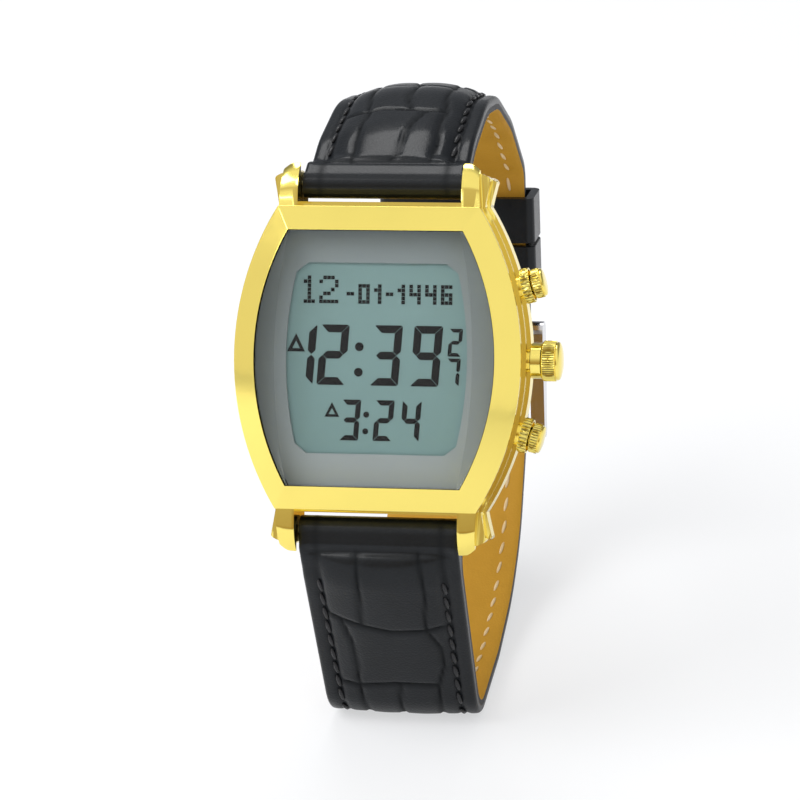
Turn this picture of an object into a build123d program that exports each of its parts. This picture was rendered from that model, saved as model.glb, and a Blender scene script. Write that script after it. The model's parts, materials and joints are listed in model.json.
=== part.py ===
from build123d import *
import os
from math import asin, cos, radians, sin, sqrt

# A digital prayer-time wristwatch, buckled into a loop and standing on its strap.
# Millimetres. The row frame has +Z up and the dial facing -Y, leaning back. Head and strap are
# drawn on planes through the middle of the case that lean with the dial:
#   dial  x to 3 o'clock, y to 12 o'clock, heights towards the viewer
#   side  x into the case back, y to 12 o'clock, heights to 3 o'clock
#   plan  x to 3 o'clock, y into the case back, heights to 12 o'clock

os.makedirs("parts", exist_ok=True)

# ---------------------------------------------------------------- driving dimensions
lean = 22                       # degrees that the dial leans back

case_half_width = 17.9          # bezel edge at 3 and 9 o'clock
case_half_height = 18.65        # bezel edge at 12 and 6 o'clock
flank_radius = 35.2             # curve of the flanks
bezel_width = 2.95              # bezel edge to window, seen square on
bezel_rise = 2.0                # of the bezel facets
bezel_wall = 1.2                # upright edge of the bezel
case_top = 3.4                  # face that bezel and dial mask sit on
plate_thickness = 2.2           # of each of the two stepped flank plates under the bezel
plate_step = 0.3                # each plate stands out this much beyond the one before
barrel_inset = 1.2              # the rear barrel is this much slimmer than the bezel
case_bottom = -3.8              # face that the case back sits on
case_back_thickness = 1.2
case_back_chamfer = 0.15
cavity_inset = 3.6              # bezel edge to the module cavity
seal_width = 0.4                # case gasket
seal_depth = 0.5
seal_inset = 3.3                # bezel edge to the inside of the case gasket

lug_gap = 0.3                   # strap to lug on each side
lug_width = [2.05, 3.45, 3.9]   # of each horn's front, middle and rear layer at its tip
lug_reach = [5.65, 4.5, 4.2]    # of each layer past the bezel
lug_front = 4.1                 # front face of the horns beside the bezel
lug_tip_front = 1.6             # front face at the tip of the horns
lug_rounding = 0.3
lug_root = 4.0                  # depth of the horns under the bezel
lug_slant = 0.6                 # outer side of a tip falls this short of its inner side
lug_flare = 0.2                 # each layer stands out this much beyond the one before, at the bezel
lug_blend = 2.0                 # over which the horns run into the flanks
lug_bend_start = 1.2            # straight front of the horns beyond the bezel
lug_bend_middle = (4.2, 0.7)    # middle of their front curve, beyond the bezel and down
lug_bend_overrun = 0.2          # of that curve past the tips

mask_thickness = 0.3
crystal_edge = 2.5              # height of the crystal's upright edge
crystal_dome = 0.7              # rise of its side bevels
plateau_inset = 5.6             # bezel edge to the flat of the crystal at mid height
plateau_bow = 1.7               # the flat is this much narrower at its ends
crystal_clearance = 0.1
gasket_width = 0.6
gasket_height = 0.8
display_lap = (0.6, 1.0)        # of the dial mask over the edges of the display panel
display_bow = 1.5
display_chamfer = 1.2

module_clearance = 0.3          # module frame to case
module_wall = 1.3
web_thickness = 1.4             # between display pocket and circuit board
panel_inset = (6.0, 5.95)       # bezel edge to display panel, sideways and endways
panel_chamfer = 2.4
panel_thickness = 1.2
panel_clearance = 0.1
strip_inset = (2.4, 1.4)        # panel edge to the ends and middle of the zebra connectors
strip_width = 1.6
board_thickness = 0.6
frame_bottom = -3.4
chip_size = 5.0
chip_thickness = 1.0
chip_inset = 2.95               # its middle from the end of the circuit board
oscillator_radius = 1.0
oscillator_gap = 1.1            # to the chip
oscillator_inset = 3.0          # to the side of the circuit board at mid height
battery_thickness = 1.6
battery_inset = (7.9, 8.65)     # bezel edge to the space it leaves, sideways and endways
battery_drop = 2.9              # of its middle below the middle of the case
clip_thickness = 0.25
clip_width = 6.0
clip_reach = 1.0                # of its arms past the battery
piezo_radius = 9.0
piezo_thickness = 0.4

screw_inset = (1.15, 2.55)      # case back screws from its flanks and from the bezel's ends
screw_radius = 0.5
screw_head_radius = 0.7
screw_head_height = 0.5
screw_length = 3.0
screw_slot = 0.25

button_height = -0.4            # of all three button axes above the middle of the case
pusher_offset = 8.9             # of a pusher above or below the crown
travel = 0.6                    # of crown and pushers
stop_gap = 0.1                  # left between cap and tube at the end of the travel
stem_radius = 0.8
running_gap = 0.05              # radial, of every stem and pin that moves in its bore
shank_radius = 1.5              # of the tube that sits in the case wall
tube_radius = 2.2
crown_tube_length = 0.75
pusher_tube_length = 0.6
crown_radius = 2.5
crown_length = 2.4
pusher_radius = 1.85
pusher_length = 1.5
knurl_count = 24
knurl_depth = 0.18
boss_radius = 1.2               # of the cap, guided by the tube
boss_length = 1.0
cap_bevel = 0.2
cap_grip = 0.7                  # knurled share of a cap's length
cap_shoulder = 0.85             # share of its length at the foot of its domed end
cap_flat = 0.5                  # share of its radius that is flat at the end
well_depth = 1.9                # spring well in the tube
seal_radius = 0.2               # section of the stem gasket
seal_groove = 0.42              # bottom of its groove in the stem
spring_wire = 0.1
spring_turns = 3
clip_radius = 1.3               # retaining clip on the stem
clip_groove = 0.5
notch_radius = 1.6              # room for a button's inner end in the module frame
notch_depth = 2.2
stem_clip_thickness = 0.3
stem_overhang = 0.35            # stem tip beyond its clip
contact_gap = 0.05              # pressed stem to contact leaf
leaf_width = 2.4
leaf_thickness = 0.15
leaf_drop = 1.4
leaf_foot = 1.8

bar_depth = -0.4                # of the strap's spring bars into the case
bar_gap = 2.75                  # of the spring bars' axes from the bezel
bar_tube_radius = 0.9
bar_tube_wall = 0.24
bar_tube_inset = 0.2            # tube ends to strap edges
tip_radius = 0.45
tip_bevel = 0.1
piston_length = 1.4
tip_travel = 1.1                # that takes a tip clear of its lug
bar_spring_wire = 0.12
bar_spring_turns = 12

lining = 0.9                    # strap layers
cover = 0.9
upper_padding = [1.8, 1.8, 1.8, 1.7, 0.4]   # at the corners of each half, from its spring bar
lower_padding = [1.8, 1.8, 0.35, 0.35]
dome_margin = 2.0               # flat edge of the strap beside its padded dome
strap_half_lug = 9.9
strap_half_tail = 9.2
loop_depth = 57.0               # over which the strap tapers
fold = 2.4                      # strap end folded round its bar
upper_heading = 41              # of the 12 o'clock half where it leaves its bar, in degrees
upper_rise = 8.6                # length of that first straight run
upper_crest = [(16.6, 30.6), (25.4, 31.85), (37.2, 29.5)]
back_top = (49.3, 24.3)         # straight stretch down the back, inner face of the upper half
back_bottom = (55.1, 2.6)
upper_radii = [12, 16, 12, 16, 2.5]
lower_drop = 1.8                # straight run below the lower fold
foot_front = (17.3, -44.8)      # where the lower half turns level
foot_length = 16.0              # level run that the watch stands on
lower_back = [(43.0, -32.4), (50.0, -24.8)]
elbow_height = -1.0             # where the lower half turns up the back
lower_radii = [3, 4.5, 14, 30, 20, 8]
layer_gap = 0.3                 # between the two halves where they overlap, and round the keeper

keeper_width = 6.2
keeper_wall = 1.1
fixed_keeper_place = 6.2        # lower edge above the end of the back stretch
keeper_spacing = 0.6            # between the two keepers
tail_overlap = 2.0              # tail past the free keeper
hole_pitch = 6.0
hole_width = 2.2
hole_length = 3.4
holes_above = 2
holes_below = 2

hinge_inset = 1.6               # radius of the fold round the buckle bar
buckle_bar_radius = 0.75
buckle_pin_radius = 0.5
buckle_pin_end = 11.0
buckle_inner = 9.6
buckle_outer = 11.5
ear_radius = 1.5
buckle_length = 13.8
far_bar_radius = 1.1
tongue_half_width = 0.9
tongue_thickness = 0.9
tongue_collar = 1.35
tongue_slot_half = 1.3
tongue_reach = 4.2              # from the hinge to where the tongue turns out
tongue_lean = 1.7
tongue_clearance = 0.75         # under the strap, for the lift of the buckle
tongue_crest = 2.25             # above the strap where the tongue turns over
tongue_rise = 0.4               # of its tip

# ---------------------------------------------------------------- heights worked out from them
bezel_edge = case_top + bezel_wall
bezel_top = bezel_edge + bezel_rise
mask_top = case_top + mask_thickness
plateau_half_width = case_half_width - plateau_inset
plateau_corner = plateau_half_width - plateau_bow
panel_half_width = case_half_width - panel_inset[0]
panel_half_height = case_half_height - panel_inset[1]
display_half_width = panel_half_width - display_lap[0]
display_half_height = panel_half_height - display_lap[1]
display_corner = display_half_width - display_bow
strip_length = 2 * (panel_half_width - strip_inset[0])
strip_offset = panel_half_height - strip_inset[1]
crystal_shoulder = mask_top + crystal_edge
crystal_top = crystal_shoulder + crystal_dome
plate_joint = case_top + bezel_wall - plate_thickness
barrel_top = plate_joint - 2 * plate_thickness
panel_top = case_top - panel_clearance
panel_bottom = panel_top - panel_thickness
board_top = panel_bottom - web_thickness
board_bottom = board_top - board_thickness
board_inset = cavity_inset + module_clearance + module_wall + panel_clearance
board_half_width = case_half_width - board_inset
board_half_height = case_half_height - board_inset
chip_centre = (0, board_half_height - chip_inset)
oscillator_start = (chip_size / 2 + oscillator_gap, chip_centre[1])
oscillator_length = board_half_width - oscillator_inset - oscillator_start[0]
battery_radius = min(case_half_width - battery_inset[0], case_half_height - battery_inset[1])
battery_centre = (0, -battery_drop)
clip_half_span = battery_radius + clip_reach
flank_face = 2 * plate_step                 # of the rear plate, beyond the bezel edge
cavity_face = -cavity_inset - flank_face    # along a button's axis, from that plate
stem_tip = cavity_face - running_gap - stem_clip_thickness - stem_overhang
leaf_face = stem_tip - travel - contact_gap
strap_full = lining + upper_padding[0] + cover
strap_thin = lining + cover
end_radius = strap_full / 2
bar_bore = bar_tube_radius + running_gap
bar_reach = case_half_height + bar_gap
bar_tube_half = strap_half_lug - bar_tube_inset
lug_inner_face = strap_half_lug + lug_gap
tip_end = lug_inner_face + tip_travel

# ---------------------------------------------------------------- planes
lean_cos, lean_sin = cos(radians(lean)), sin(radians(lean))
foot_back = (foot_front[0] + foot_length * lean_cos, foot_front[1] + foot_length * lean_sin)
foot_thickness = strap_thin + lower_padding[2]
stand = Vector((foot_front[0] + foot_back[0]) / 2 + foot_thickness * lean_sin,
               (foot_front[1] + foot_back[1]) / 2 - foot_thickness * lean_cos)
case_y = -(stand.X * lean_cos + stand.Y * lean_sin)
case_z = stand.X * lean_sin - stand.Y * lean_cos

dial = Plane(origin=(0, case_y, case_z), x_dir=(1, 0, 0), z_dir=(0, -lean_cos, lean_sin))
side = Plane(origin=dial.origin, x_dir=(0, lean_cos, -lean_sin), z_dir=(1, 0, 0))
plan = Plane(origin=dial.origin, x_dir=(1, 0, 0), z_dir=dial.y_dir)


def side_place(point, across=0):
    """Row position of a point of the side view."""
    return side.from_local_coords((point[0], point[1], across))


def side_direction(vector):
    """Row direction of a vector of the side view."""
    return side.x_dir * vector.X + side.y_dir * vector.Y


# ---------------------------------------------------------------- outlines of the case
def barrel(half_width, corner, half_height):
    """Outline with straight ends and bowed flanks."""
    with BuildSketch() as outline:
        with BuildLine():
            Line((-corner, half_height), (corner, half_height))
            ThreePointArc((corner, half_height), (half_width, 0), (corner, -half_height))
            Line((corner, -half_height), (-corner, -half_height))
            ThreePointArc((-corner, -half_height), (-half_width, 0), (-corner, half_height))
        make_face()
    return outline.sketch


def flank(grow, height):
    """Half width, at a height from the middle, of the case outline grown by a distance."""
    radius = flank_radius + grow
    return case_half_width + grow - radius + sqrt(radius**2 - height**2)


def flank_corner(grow):
    """Half width at the ends of the case outline grown by a distance."""
    return flank(grow, case_half_height + grow)


def tonneau(grow):
    """Case outline grown by a distance, its flanks on the same centres."""
    return barrel(case_half_width + grow, flank_corner(grow), case_half_height + grow)


def horns(layer):
    """The four lug horns of one layer, from under the bezel to their tips."""
    tip = case_half_height + lug_reach[layer]
    root = flank_corner(layer * plate_step)
    root_height = case_half_height + layer * plate_step
    with BuildSketch() as outline:
        with BuildLine():
            Polyline(
                (lug_inner_face, root_height - lug_root),
                (lug_inner_face, tip),
                (lug_inner_face + lug_width[layer], tip - lug_slant),
                (root + lug_flare * layer, root_height),
                (root, root_height - lug_blend),
                close=True,
            )
        make_face()
        fillet(outline.vertices().group_by(Axis.Y)[-1], lug_rounding)
        fillet(outline.vertices().sort_by(Axis.X)[-1], lug_rounding)
        mirror(about=Plane.YZ)
        mirror(about=Plane.XZ)
    return outline.sketch


def prism(outline, bottom, top):
    """Upright part between two heights above the middle of the case."""
    with BuildPart() as body:
        with BuildSketch(dial.offset(bottom)):
            add(outline)
        extrude(amount=top - bottom)
    return body.part


# ---------------------------------------------------------------- button axes
def button_plane(offset):
    """Plane on the rear flank plate, square to the flank at a distance from 3 o'clock."""
    angle = asin(offset / flank_radius)
    centre = case_half_width - flank_radius
    reach = flank_radius + flank_face
    place = (centre + reach * cos(angle), reach * sin(angle), button_height)
    outward = dial.x_dir * cos(angle) + dial.y_dir * sin(angle)
    return Plane(origin=dial.from_local_coords(place), x_dir=dial.z_dir, z_dir=outward)


buttons = {
    "crown": (button_plane(0), crown_tube_length, crown_radius, crown_length),
    "upper_pusher": (button_plane(pusher_offset), pusher_tube_length, pusher_radius, pusher_length),
    "lower_pusher": (button_plane(-pusher_offset), pusher_tube_length, pusher_radius, pusher_length),
}

# ---------------------------------------------------------------- case
screw_up = case_half_height - screw_inset[1]
screw_place = (flank(-barrel_inset, screw_up) - screw_inset[0], screw_up)

with BuildPart() as case_body:
    add(prism(tonneau(0), plate_joint, case_top))
    add(prism(horns(0), plate_joint, case_top))
    for layer in (1, 2):
        top = plate_joint - (layer - 1) * plate_thickness
        add(prism(tonneau(layer * plate_step), top - plate_thickness, top))
        add(prism(horns(layer), top - plate_thickness, top))
    add(prism(tonneau(-barrel_inset), case_bottom, barrel_top))
    # front of the horns, standing beside the bezel and curving down to their tips
    with BuildSketch(dial.offset(case_top)):
        add(horns(0))
        Rectangle(4 * case_half_width, 2 * case_half_height, mode=Mode.SUBTRACT)
    extrude(amount=lug_front - case_top)
    for end in (1, -1):
        with BuildSketch(side.offset(-2 * case_half_width)):
            with BuildLine():
                start = (-lug_front, end * (case_half_height + lug_bend_start))
                finish = (-lug_tip_front, end * (case_half_height + lug_reach[0] + lug_bend_overrun))
                middle = (lug_bend_middle[1] - lug_front,
                          end * (case_half_height + lug_bend_middle[0]))
                ThreePointArc(start, middle, finish)
                Polyline(finish, (-2 * lug_front, finish[1]), (-2 * lug_front, start[1]), start)
            make_face()
        extrude(amount=4 * case_half_width, mode=Mode.SUBTRACT)
    # module cavity and the groove of the case gasket
    with BuildSketch(dial.offset(case_bottom)):
        add(tonneau(-cavity_inset))
    extrude(amount=case_top - case_bottom, mode=Mode.SUBTRACT)
    with BuildSketch(dial.offset(case_bottom)):
        add(tonneau(seal_width - seal_inset))
        add(tonneau(-seal_inset), mode=Mode.SUBTRACT)
    extrude(amount=seal_depth, mode=Mode.SUBTRACT)
    for plane, *_ in buttons.values():
        with BuildSketch(plane):
            Circle(shank_radius)
        extrude(amount=2 * cavity_face, mode=Mode.SUBTRACT)
    for way in (1, -1):
        with BuildSketch(side.offset(way * lug_inner_face)):
            with Locations((bar_depth, bar_reach), (bar_depth, -bar_reach)):
                Circle(tip_radius + running_gap)
        extrude(amount=way * (tip_travel + running_gap), mode=Mode.SUBTRACT)
    with BuildSketch(dial.offset(case_bottom)):
        with GridLocations(2 * screw_place[0], 2 * screw_place[1], 2, 2):
            Circle(screw_radius)
    extrude(amount=screw_length - case_back_thickness, mode=Mode.SUBTRACT)
case_body.part.label = "case_body"
export_step(case_body.part, "parts/case_body.step")

with BuildPart() as bezel:
    add(prism(tonneau(0), case_top, bezel_edge))
    with BuildSketch(dial.offset(bezel_edge)):
        add(tonneau(0))
    with BuildSketch(dial.offset(bezel_top)):
        add(tonneau(-bezel_width))
    loft(ruled=True)
    add(prism(tonneau(-bezel_width), case_top, bezel_top), mode=Mode.SUBTRACT)
    add(prism(tonneau(gasket_width - bezel_width), case_top, mask_top + gasket_height),
        mode=Mode.SUBTRACT)
bezel.part.label = "bezel"
export_step(bezel.part, "parts/bezel.step")

crystal_grow = -bezel_width - crystal_clearance
with BuildPart() as crystal:
    add(prism(tonneau(crystal_grow), mask_top, crystal_shoulder))
    with BuildSketch(dial.offset(crystal_shoulder)):
        add(tonneau(crystal_grow))
    with BuildSketch(dial.offset(crystal_top)):
        add(barrel(plateau_half_width, plateau_corner, case_half_height + crystal_grow))
    loft(ruled=True)
crystal.part.label = "crystal"
export_step(crystal.part, "parts/crystal.step")

with BuildPart() as crystal_gasket:
    add(prism(tonneau(gasket_width - bezel_width), mask_top, mask_top + gasket_height))
    add(prism(tonneau(crystal_grow), mask_top, crystal_top), mode=Mode.SUBTRACT)
crystal_gasket.part.label = "crystal_gasket"
export_step(crystal_gasket.part, "parts/crystal_gasket.step")

with BuildPart() as dial_mask:
    with BuildSketch(dial.offset(case_top)):
        add(tonneau(gasket_width - bezel_width - crystal_clearance))
        with BuildSketch(mode=Mode.SUBTRACT) as opening:
            add(barrel(display_half_width, display_corner, display_half_height))
            chamfer(opening.vertices(), display_chamfer)
    extrude(amount=mask_thickness)
dial_mask.part.label = "dial_mask"
export_step(dial_mask.part, "parts/dial_mask.step")

with BuildPart() as case_gasket:
    add(prism(tonneau(seal_width - seal_inset), case_bottom, case_bottom + seal_depth))
    add(prism(tonneau(-seal_inset), case_bottom, case_bottom + seal_depth), mode=Mode.SUBTRACT)
case_gasket.part.label = "case_gasket"
export_step(case_gasket.part, "parts/case_gasket.step")

back_face = case_bottom - case_back_thickness
with BuildPart() as case_back:
    add(prism(tonneau(-barrel_inset), back_face, case_bottom))
    chamfer(case_back.faces().sort_by(Axis(dial.origin, dial.z_dir))[0].edges(), case_back_chamfer)
    with BuildSketch(dial.offset(back_face)):
        with GridLocations(2 * screw_place[0], 2 * screw_place[1], 2, 2):
            Circle(screw_head_radius)
    extrude(amount=screw_head_height, mode=Mode.SUBTRACT)
    with BuildSketch(dial.offset(back_face)):
        with GridLocations(2 * screw_place[0], 2 * screw_place[1], 2, 2):
            Circle(screw_radius)
    extrude(amount=case_back_thickness, mode=Mode.SUBTRACT)
case_back.part.label = "case_back"
export_step(case_back.part, "parts/case_back.step")

with BuildPart() as case_back_screws:
    with BuildSketch(dial.offset(back_face)):
        with GridLocations(2 * screw_place[0], 2 * screw_place[1], 2, 2):
            Circle(screw_head_radius)
    extrude(amount=screw_head_height)
    with BuildSketch(dial.offset(back_face)):
        with GridLocations(2 * screw_place[0], 2 * screw_place[1], 2, 2):
            Circle(screw_radius)
    extrude(amount=screw_length)
    with BuildSketch(dial.offset(back_face)):
        with GridLocations(2 * screw_place[0], 2 * screw_place[1], 2, 2):
            Rectangle(2 * screw_head_radius, screw_slot)
    extrude(amount=screw_slot, mode=Mode.SUBTRACT)
case_back_screws.part.label = "case_back_screws"
export_step(case_back_screws.part, "parts/case_back_screws.step")

# ---------------------------------------------------------------- movement module
def panel_shape(grow):
    """Outline of the display panel, a rectangle with cut corners."""
    with BuildSketch() as outline:
        Rectangle(2 * (panel_half_width + grow), 2 * (panel_half_height + grow))
        chamfer(outline.vertices(), panel_chamfer)
    return outline.sketch


def strip_shape(grow):
    """Outlines of the two connector strips."""
    with BuildSketch() as outline:
        with Locations((0, strip_offset), (0, -strip_offset)):
            Rectangle(strip_length + 2 * grow, strip_width + 2 * grow)
    return outline.sketch


with BuildPart() as module_frame:
    add(prism(tonneau(-cavity_inset - module_clearance), frame_bottom, panel_top))
    add(prism(panel_shape(panel_clearance), panel_bottom, panel_top), mode=Mode.SUBTRACT)
    add(prism(strip_shape(panel_clearance), board_top, panel_bottom), mode=Mode.SUBTRACT)
    add(prism(tonneau(panel_clearance - board_inset), frame_bottom, board_top), mode=Mode.SUBTRACT)
    for plane, *_ in buttons.values():
        with BuildSketch(plane.offset(cavity_face)):
            Circle(notch_radius)
        extrude(amount=-notch_depth, mode=Mode.SUBTRACT)
module_frame.part.label = "module_frame"
export_step(module_frame.part, "parts/module_frame.step")

with BuildPart() as lcd_panel:
    add(prism(panel_shape(0), panel_bottom, panel_top))
lcd_panel.part.label = "lcd_panel"
export_step(lcd_panel.part, "parts/lcd_panel.step")

with BuildPart() as zebra_connectors:
    add(prism(strip_shape(0), board_top, panel_bottom))
zebra_connectors.part.label = "zebra_connectors"
export_step(zebra_connectors.part, "parts/zebra_connectors.step")

with BuildPart() as circuit_board:
    add(prism(tonneau(-board_inset), board_bottom, board_top))
circuit_board.part.label = "circuit_board"
export_step(circuit_board.part, "parts/circuit_board.step")

with BuildPart() as controller_chip:
    with BuildSketch(dial.offset(board_bottom)):
        with Locations(chip_centre):
            Rectangle(chip_size, chip_size)
    extrude(amount=-chip_thickness)
controller_chip.part.label = "controller_chip"
export_step(controller_chip.part, "parts/controller_chip.step")

can_height = oscillator_radius - board_bottom
with BuildPart() as quartz_oscillator:
    with BuildSketch(side.offset(oscillator_start[0])):
        with Locations((can_height, oscillator_start[1])):
            Circle(oscillator_radius)
    extrude(amount=oscillator_length)
quartz_oscillator.part.label = "quartz_oscillator"
export_step(quartz_oscillator.part, "parts/quartz_oscillator.step")

battery_bottom = board_bottom - battery_thickness
with BuildPart() as battery:
    with BuildSketch(dial.offset(battery_bottom)):
        with Locations(battery_centre):
            Circle(battery_radius)
    extrude(amount=battery_thickness)
battery.part.label = "battery"
export_step(battery.part, "parts/battery.step")

with BuildPart() as battery_clip:
    with BuildSketch(dial.offset(battery_bottom - clip_thickness)):
        with Locations(battery_centre):
            Rectangle(2 * clip_half_span, clip_width)
    extrude(amount=clip_thickness)
    with BuildSketch(dial.offset(battery_bottom)):
        with Locations(battery_centre):
            Rectangle(2 * clip_half_span, clip_width)
            Rectangle(2 * (clip_half_span - clip_thickness), clip_width, mode=Mode.SUBTRACT)
    extrude(amount=battery_thickness)
battery_clip.part.label = "battery_clip"
export_step(battery_clip.part, "parts/battery_clip.step")

with BuildPart() as piezo_speaker:
    with BuildSketch(dial.offset(case_bottom)):
        Circle(piezo_radius)
    extrude(amount=piezo_thickness)
piezo_speaker.part.label = "piezo_speaker"
export_step(piezo_speaker.part, "parts/piezo_speaker.step")

with BuildPart() as contact_springs:
    for plane, *_ in buttons.values():
        root = board_bottom - button_height
        with BuildSketch(plane.offset(leaf_face)):
            with Locations((root - leaf_drop / 2, 0)):
                Rectangle(leaf_drop, leaf_width)
        extrude(amount=-leaf_thickness)
        with BuildSketch(plane.offset(leaf_face)):
            with Locations((root - leaf_thickness / 2, 0)):
                Rectangle(leaf_thickness, leaf_width)
        extrude(amount=-leaf_foot)
contact_springs.part.label = "contact_springs"
export_step(contact_springs.part, "parts/contact_springs.step")


# ---------------------------------------------------------------- crown and pushers
def turned(plane, profile):
    """Part turned about a plane's axis from a closed profile of (radius, height) points."""
    with BuildPart() as body:
        with BuildSketch(Plane(origin=plane.origin, x_dir=plane.x_dir, z_dir=-plane.y_dir)):
            with BuildLine():
                Polyline(*profile, close=True)
            make_face()
        revolve(axis=Axis(plane.origin, plane.z_dir))
    return body.part


def coil(plane, radius, wire, low, high, turns):
    """Helical spring round a plane's axis between two heights, with room for its own wire."""
    height = high - low - 2 * wire
    path = plane.offset(low + wire).location * Helix(height / turns, height, radius)
    with BuildPart() as spring:
        with BuildSketch(Plane(origin=path @ 0, z_dir=path % 0)):
            Circle(wire)
        sweep(path=path)
    return spring.part


clip_top = cavity_face - running_gap
clip_bottom = clip_top - stem_clip_thickness
seal_place = (cavity_face - well_depth) / 2
seal_half = seal_radius + running_gap
well_radius = boss_radius + running_gap

for name, (plane, tube_length, cap_radius, cap_length) in buttons.items():
    cap_face = tube_length + travel + stop_gap
    well_floor = tube_length - well_depth

    with BuildPart() as tube:
        add(turned(plane, [
            (stem_radius + running_gap, cavity_face),
            (shank_radius, cavity_face),
            (shank_radius, 0),
            (tube_radius, 0),
            (tube_radius, tube_length),
            (well_radius, tube_length),
            (well_radius, well_floor),
            (stem_radius + running_gap, well_floor),
        ]))
    tube.part.label = f"{name}_tube"
    export_step(tube.part, f"parts/{name}_tube.step")

    with BuildPart() as cap:
        add(turned(plane, [
            (0, cap_face - boss_length),
            (boss_radius, cap_face - boss_length),
            (boss_radius, cap_face),
            (cap_radius - cap_bevel, cap_face),
            (cap_radius, cap_face + cap_bevel),
            (cap_radius, cap_face + cap_grip * cap_length),
            (cap_radius - 2 * cap_bevel, cap_face + cap_shoulder * cap_length),
            (cap_flat * cap_radius, cap_face + cap_length),
            (0, cap_face + cap_length),
        ]))
        with BuildSketch(plane.offset(cap_face)):
            with PolarLocations(cap_radius, knurl_count):
                Circle(knurl_depth)
        extrude(amount=cap_grip * cap_length, mode=Mode.SUBTRACT)
        with BuildSketch(plane.offset(cap_face - boss_length)):
            Circle(stem_radius)
        extrude(amount=boss_length + cap_length / 2, mode=Mode.SUBTRACT)
    cap.part.label = f"{name}_cap"
    export_step(cap.part, f"parts/{name}_cap.step")

    with BuildPart() as stem:
        add(turned(plane, [
            (0, stem_tip),
            (stem_radius, stem_tip),
            (stem_radius, clip_bottom),
            (clip_groove, clip_bottom),
            (clip_groove, clip_top),
            (stem_radius, clip_top),
            (stem_radius, seal_place - seal_half),
            (seal_groove, seal_place - seal_half),
            (seal_groove, seal_place + seal_half),
            (stem_radius, seal_place + seal_half),
            (stem_radius, cap_face + cap_length / 2),
            (0, cap_face + cap_length / 2),
        ]))
    stem.part.label = f"{name}_stem"
    export_step(stem.part, f"parts/{name}_stem.step")

    with BuildPart() as gasket:
        with BuildSketch(Plane(origin=plane.origin, x_dir=plane.x_dir, z_dir=-plane.y_dir)):
            with Locations((seal_groove + seal_radius, seal_place)):
                Circle(seal_radius)
        revolve(axis=Axis(plane.origin, plane.z_dir))
    gasket.part.label = f"{name}_gasket"
    export_step(gasket.part, f"parts/{name}_gasket.step")

    with BuildPart() as clip:
        add(turned(plane, [
            (clip_groove, clip_bottom),
            (clip_radius, clip_bottom),
            (clip_radius, clip_top),
            (clip_groove, clip_top),
        ]))
    clip.part.label = f"{name}_clip"
    export_step(clip.part, f"parts/{name}_clip.step")

    with BuildPart() as spring:
        coil_radius = (stem_radius + well_radius) / 2
        add(coil(plane, coil_radius, spring_wire, well_floor, cap_face - boss_length, spring_turns))
    spring.part.label = f"{name}_spring"
    export_step(spring.part, f"parts/{name}_spring.step")

# ---------------------------------------------------------------- spring bars
lip = bar_tube_radius - bar_tube_wall           # bore of the tube
piston_end = bar_tube_half - bar_tube_wall - running_gap
for name, end in (("upper", 1), ("lower", -1)):
    place = (bar_depth, end * bar_reach)
    axis = Plane(origin=side_place(place), x_dir=side.x_dir, z_dir=side.z_dir)
    lip_radius = tip_radius + running_gap
    lip_face = bar_tube_half - bar_tube_wall

    with BuildPart() as bar_tube:
        add(turned(axis, [
            (lip_radius, -bar_tube_half),
            (bar_tube_radius, -bar_tube_half),
            (bar_tube_radius, bar_tube_half),
            (lip_radius, bar_tube_half),
            (lip_radius, lip_face),
            (lip, lip_face),
            (lip, -lip_face),
            (lip_radius, -lip_face),
        ]))
    bar_tube.part.label = f"{name}_bar_tube"
    export_step(bar_tube.part, f"parts/{name}_bar_tube.step")

    for hand, way in (("left", -1), ("right", 1)):
        with BuildPart() as bar_tip:
            add(turned(axis, [
                (0, way * (piston_end - piston_length)),
                (lip - running_gap, way * (piston_end - piston_length)),
                (lip - running_gap, way * piston_end),
                (tip_radius, way * piston_end),
                (tip_radius, way * (tip_end - tip_bevel)),
                (tip_radius - tip_bevel, way * tip_end),
                (0, way * tip_end),
            ]))
        bar_tip.part.label = f"{name}_{hand}_bar_tip"
        export_step(bar_tip.part, f"parts/{name}_{hand}_bar_tip.step")

    with BuildPart() as bar_spring:
        reach = piston_end - piston_length
        coil_radius = lip - running_gap - bar_spring_wire
        add(coil(axis, coil_radius, bar_spring_wire, -reach, reach, bar_spring_turns))
    bar_spring.part.label = f"{name}_bar_spring"
    export_step(bar_spring.part, f"parts/{name}_bar_spring.step")


# ---------------------------------------------------------------- strap
def unit(start, finish):
    """Direction from one point of the side view to another."""
    return (Vector(*finish) - Vector(*start)).normalized()


def outward(direction, hand):
    """Normal on the outside of the loop: left of a route with hand 1, right of it with -1."""
    return Vector(-direction.Y, direction.X) * hand


def band(route, low, high, radii, hand):
    """Side profile of a layer between two depths, each given at every corner of its route."""
    runs = [unit(*ends) for ends in zip(route, route[1:])]
    before = [runs[0]] + runs
    after = runs + [runs[-1]]

    def edge(depths):
        points = []
        for point, depth, arriving, leaving in zip(route, depths, before, after):
            first, second = outward(arriving, hand), outward(leaving, hand)
            points.append(Vector(*point) + (first + second) * (depth / (1 + first.dot(second))))
        bends = [hand * (a.Y * b.X - a.X * b.Y) for a, b in zip(runs, runs[1:])]
        rounding = [r + (d if bend > 0 else -d) for r, d, bend in zip(radii, depths[1:-1], bends)]
        return [(p.X, p.Y) for p in points], rounding

    with BuildSketch() as profile:
        with BuildLine():
            inner_points, inner_radii = edge(low)
            outer_points, outer_radii = edge(high)
            inner = FilletPolyline(*inner_points, radius=inner_radii)
            outer = FilletPolyline(*outer_points, radius=outer_radii)
            Line(inner @ 0, outer @ 0)
            Line(inner @ 1, outer @ 1)
        make_face()
    return profile.sketch


def strap_half(depth):
    """Half width of the strap at a depth behind the middle of the case."""
    return strap_half_lug - (strap_half_lug - strap_half_tail) * depth / loop_depth


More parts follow.
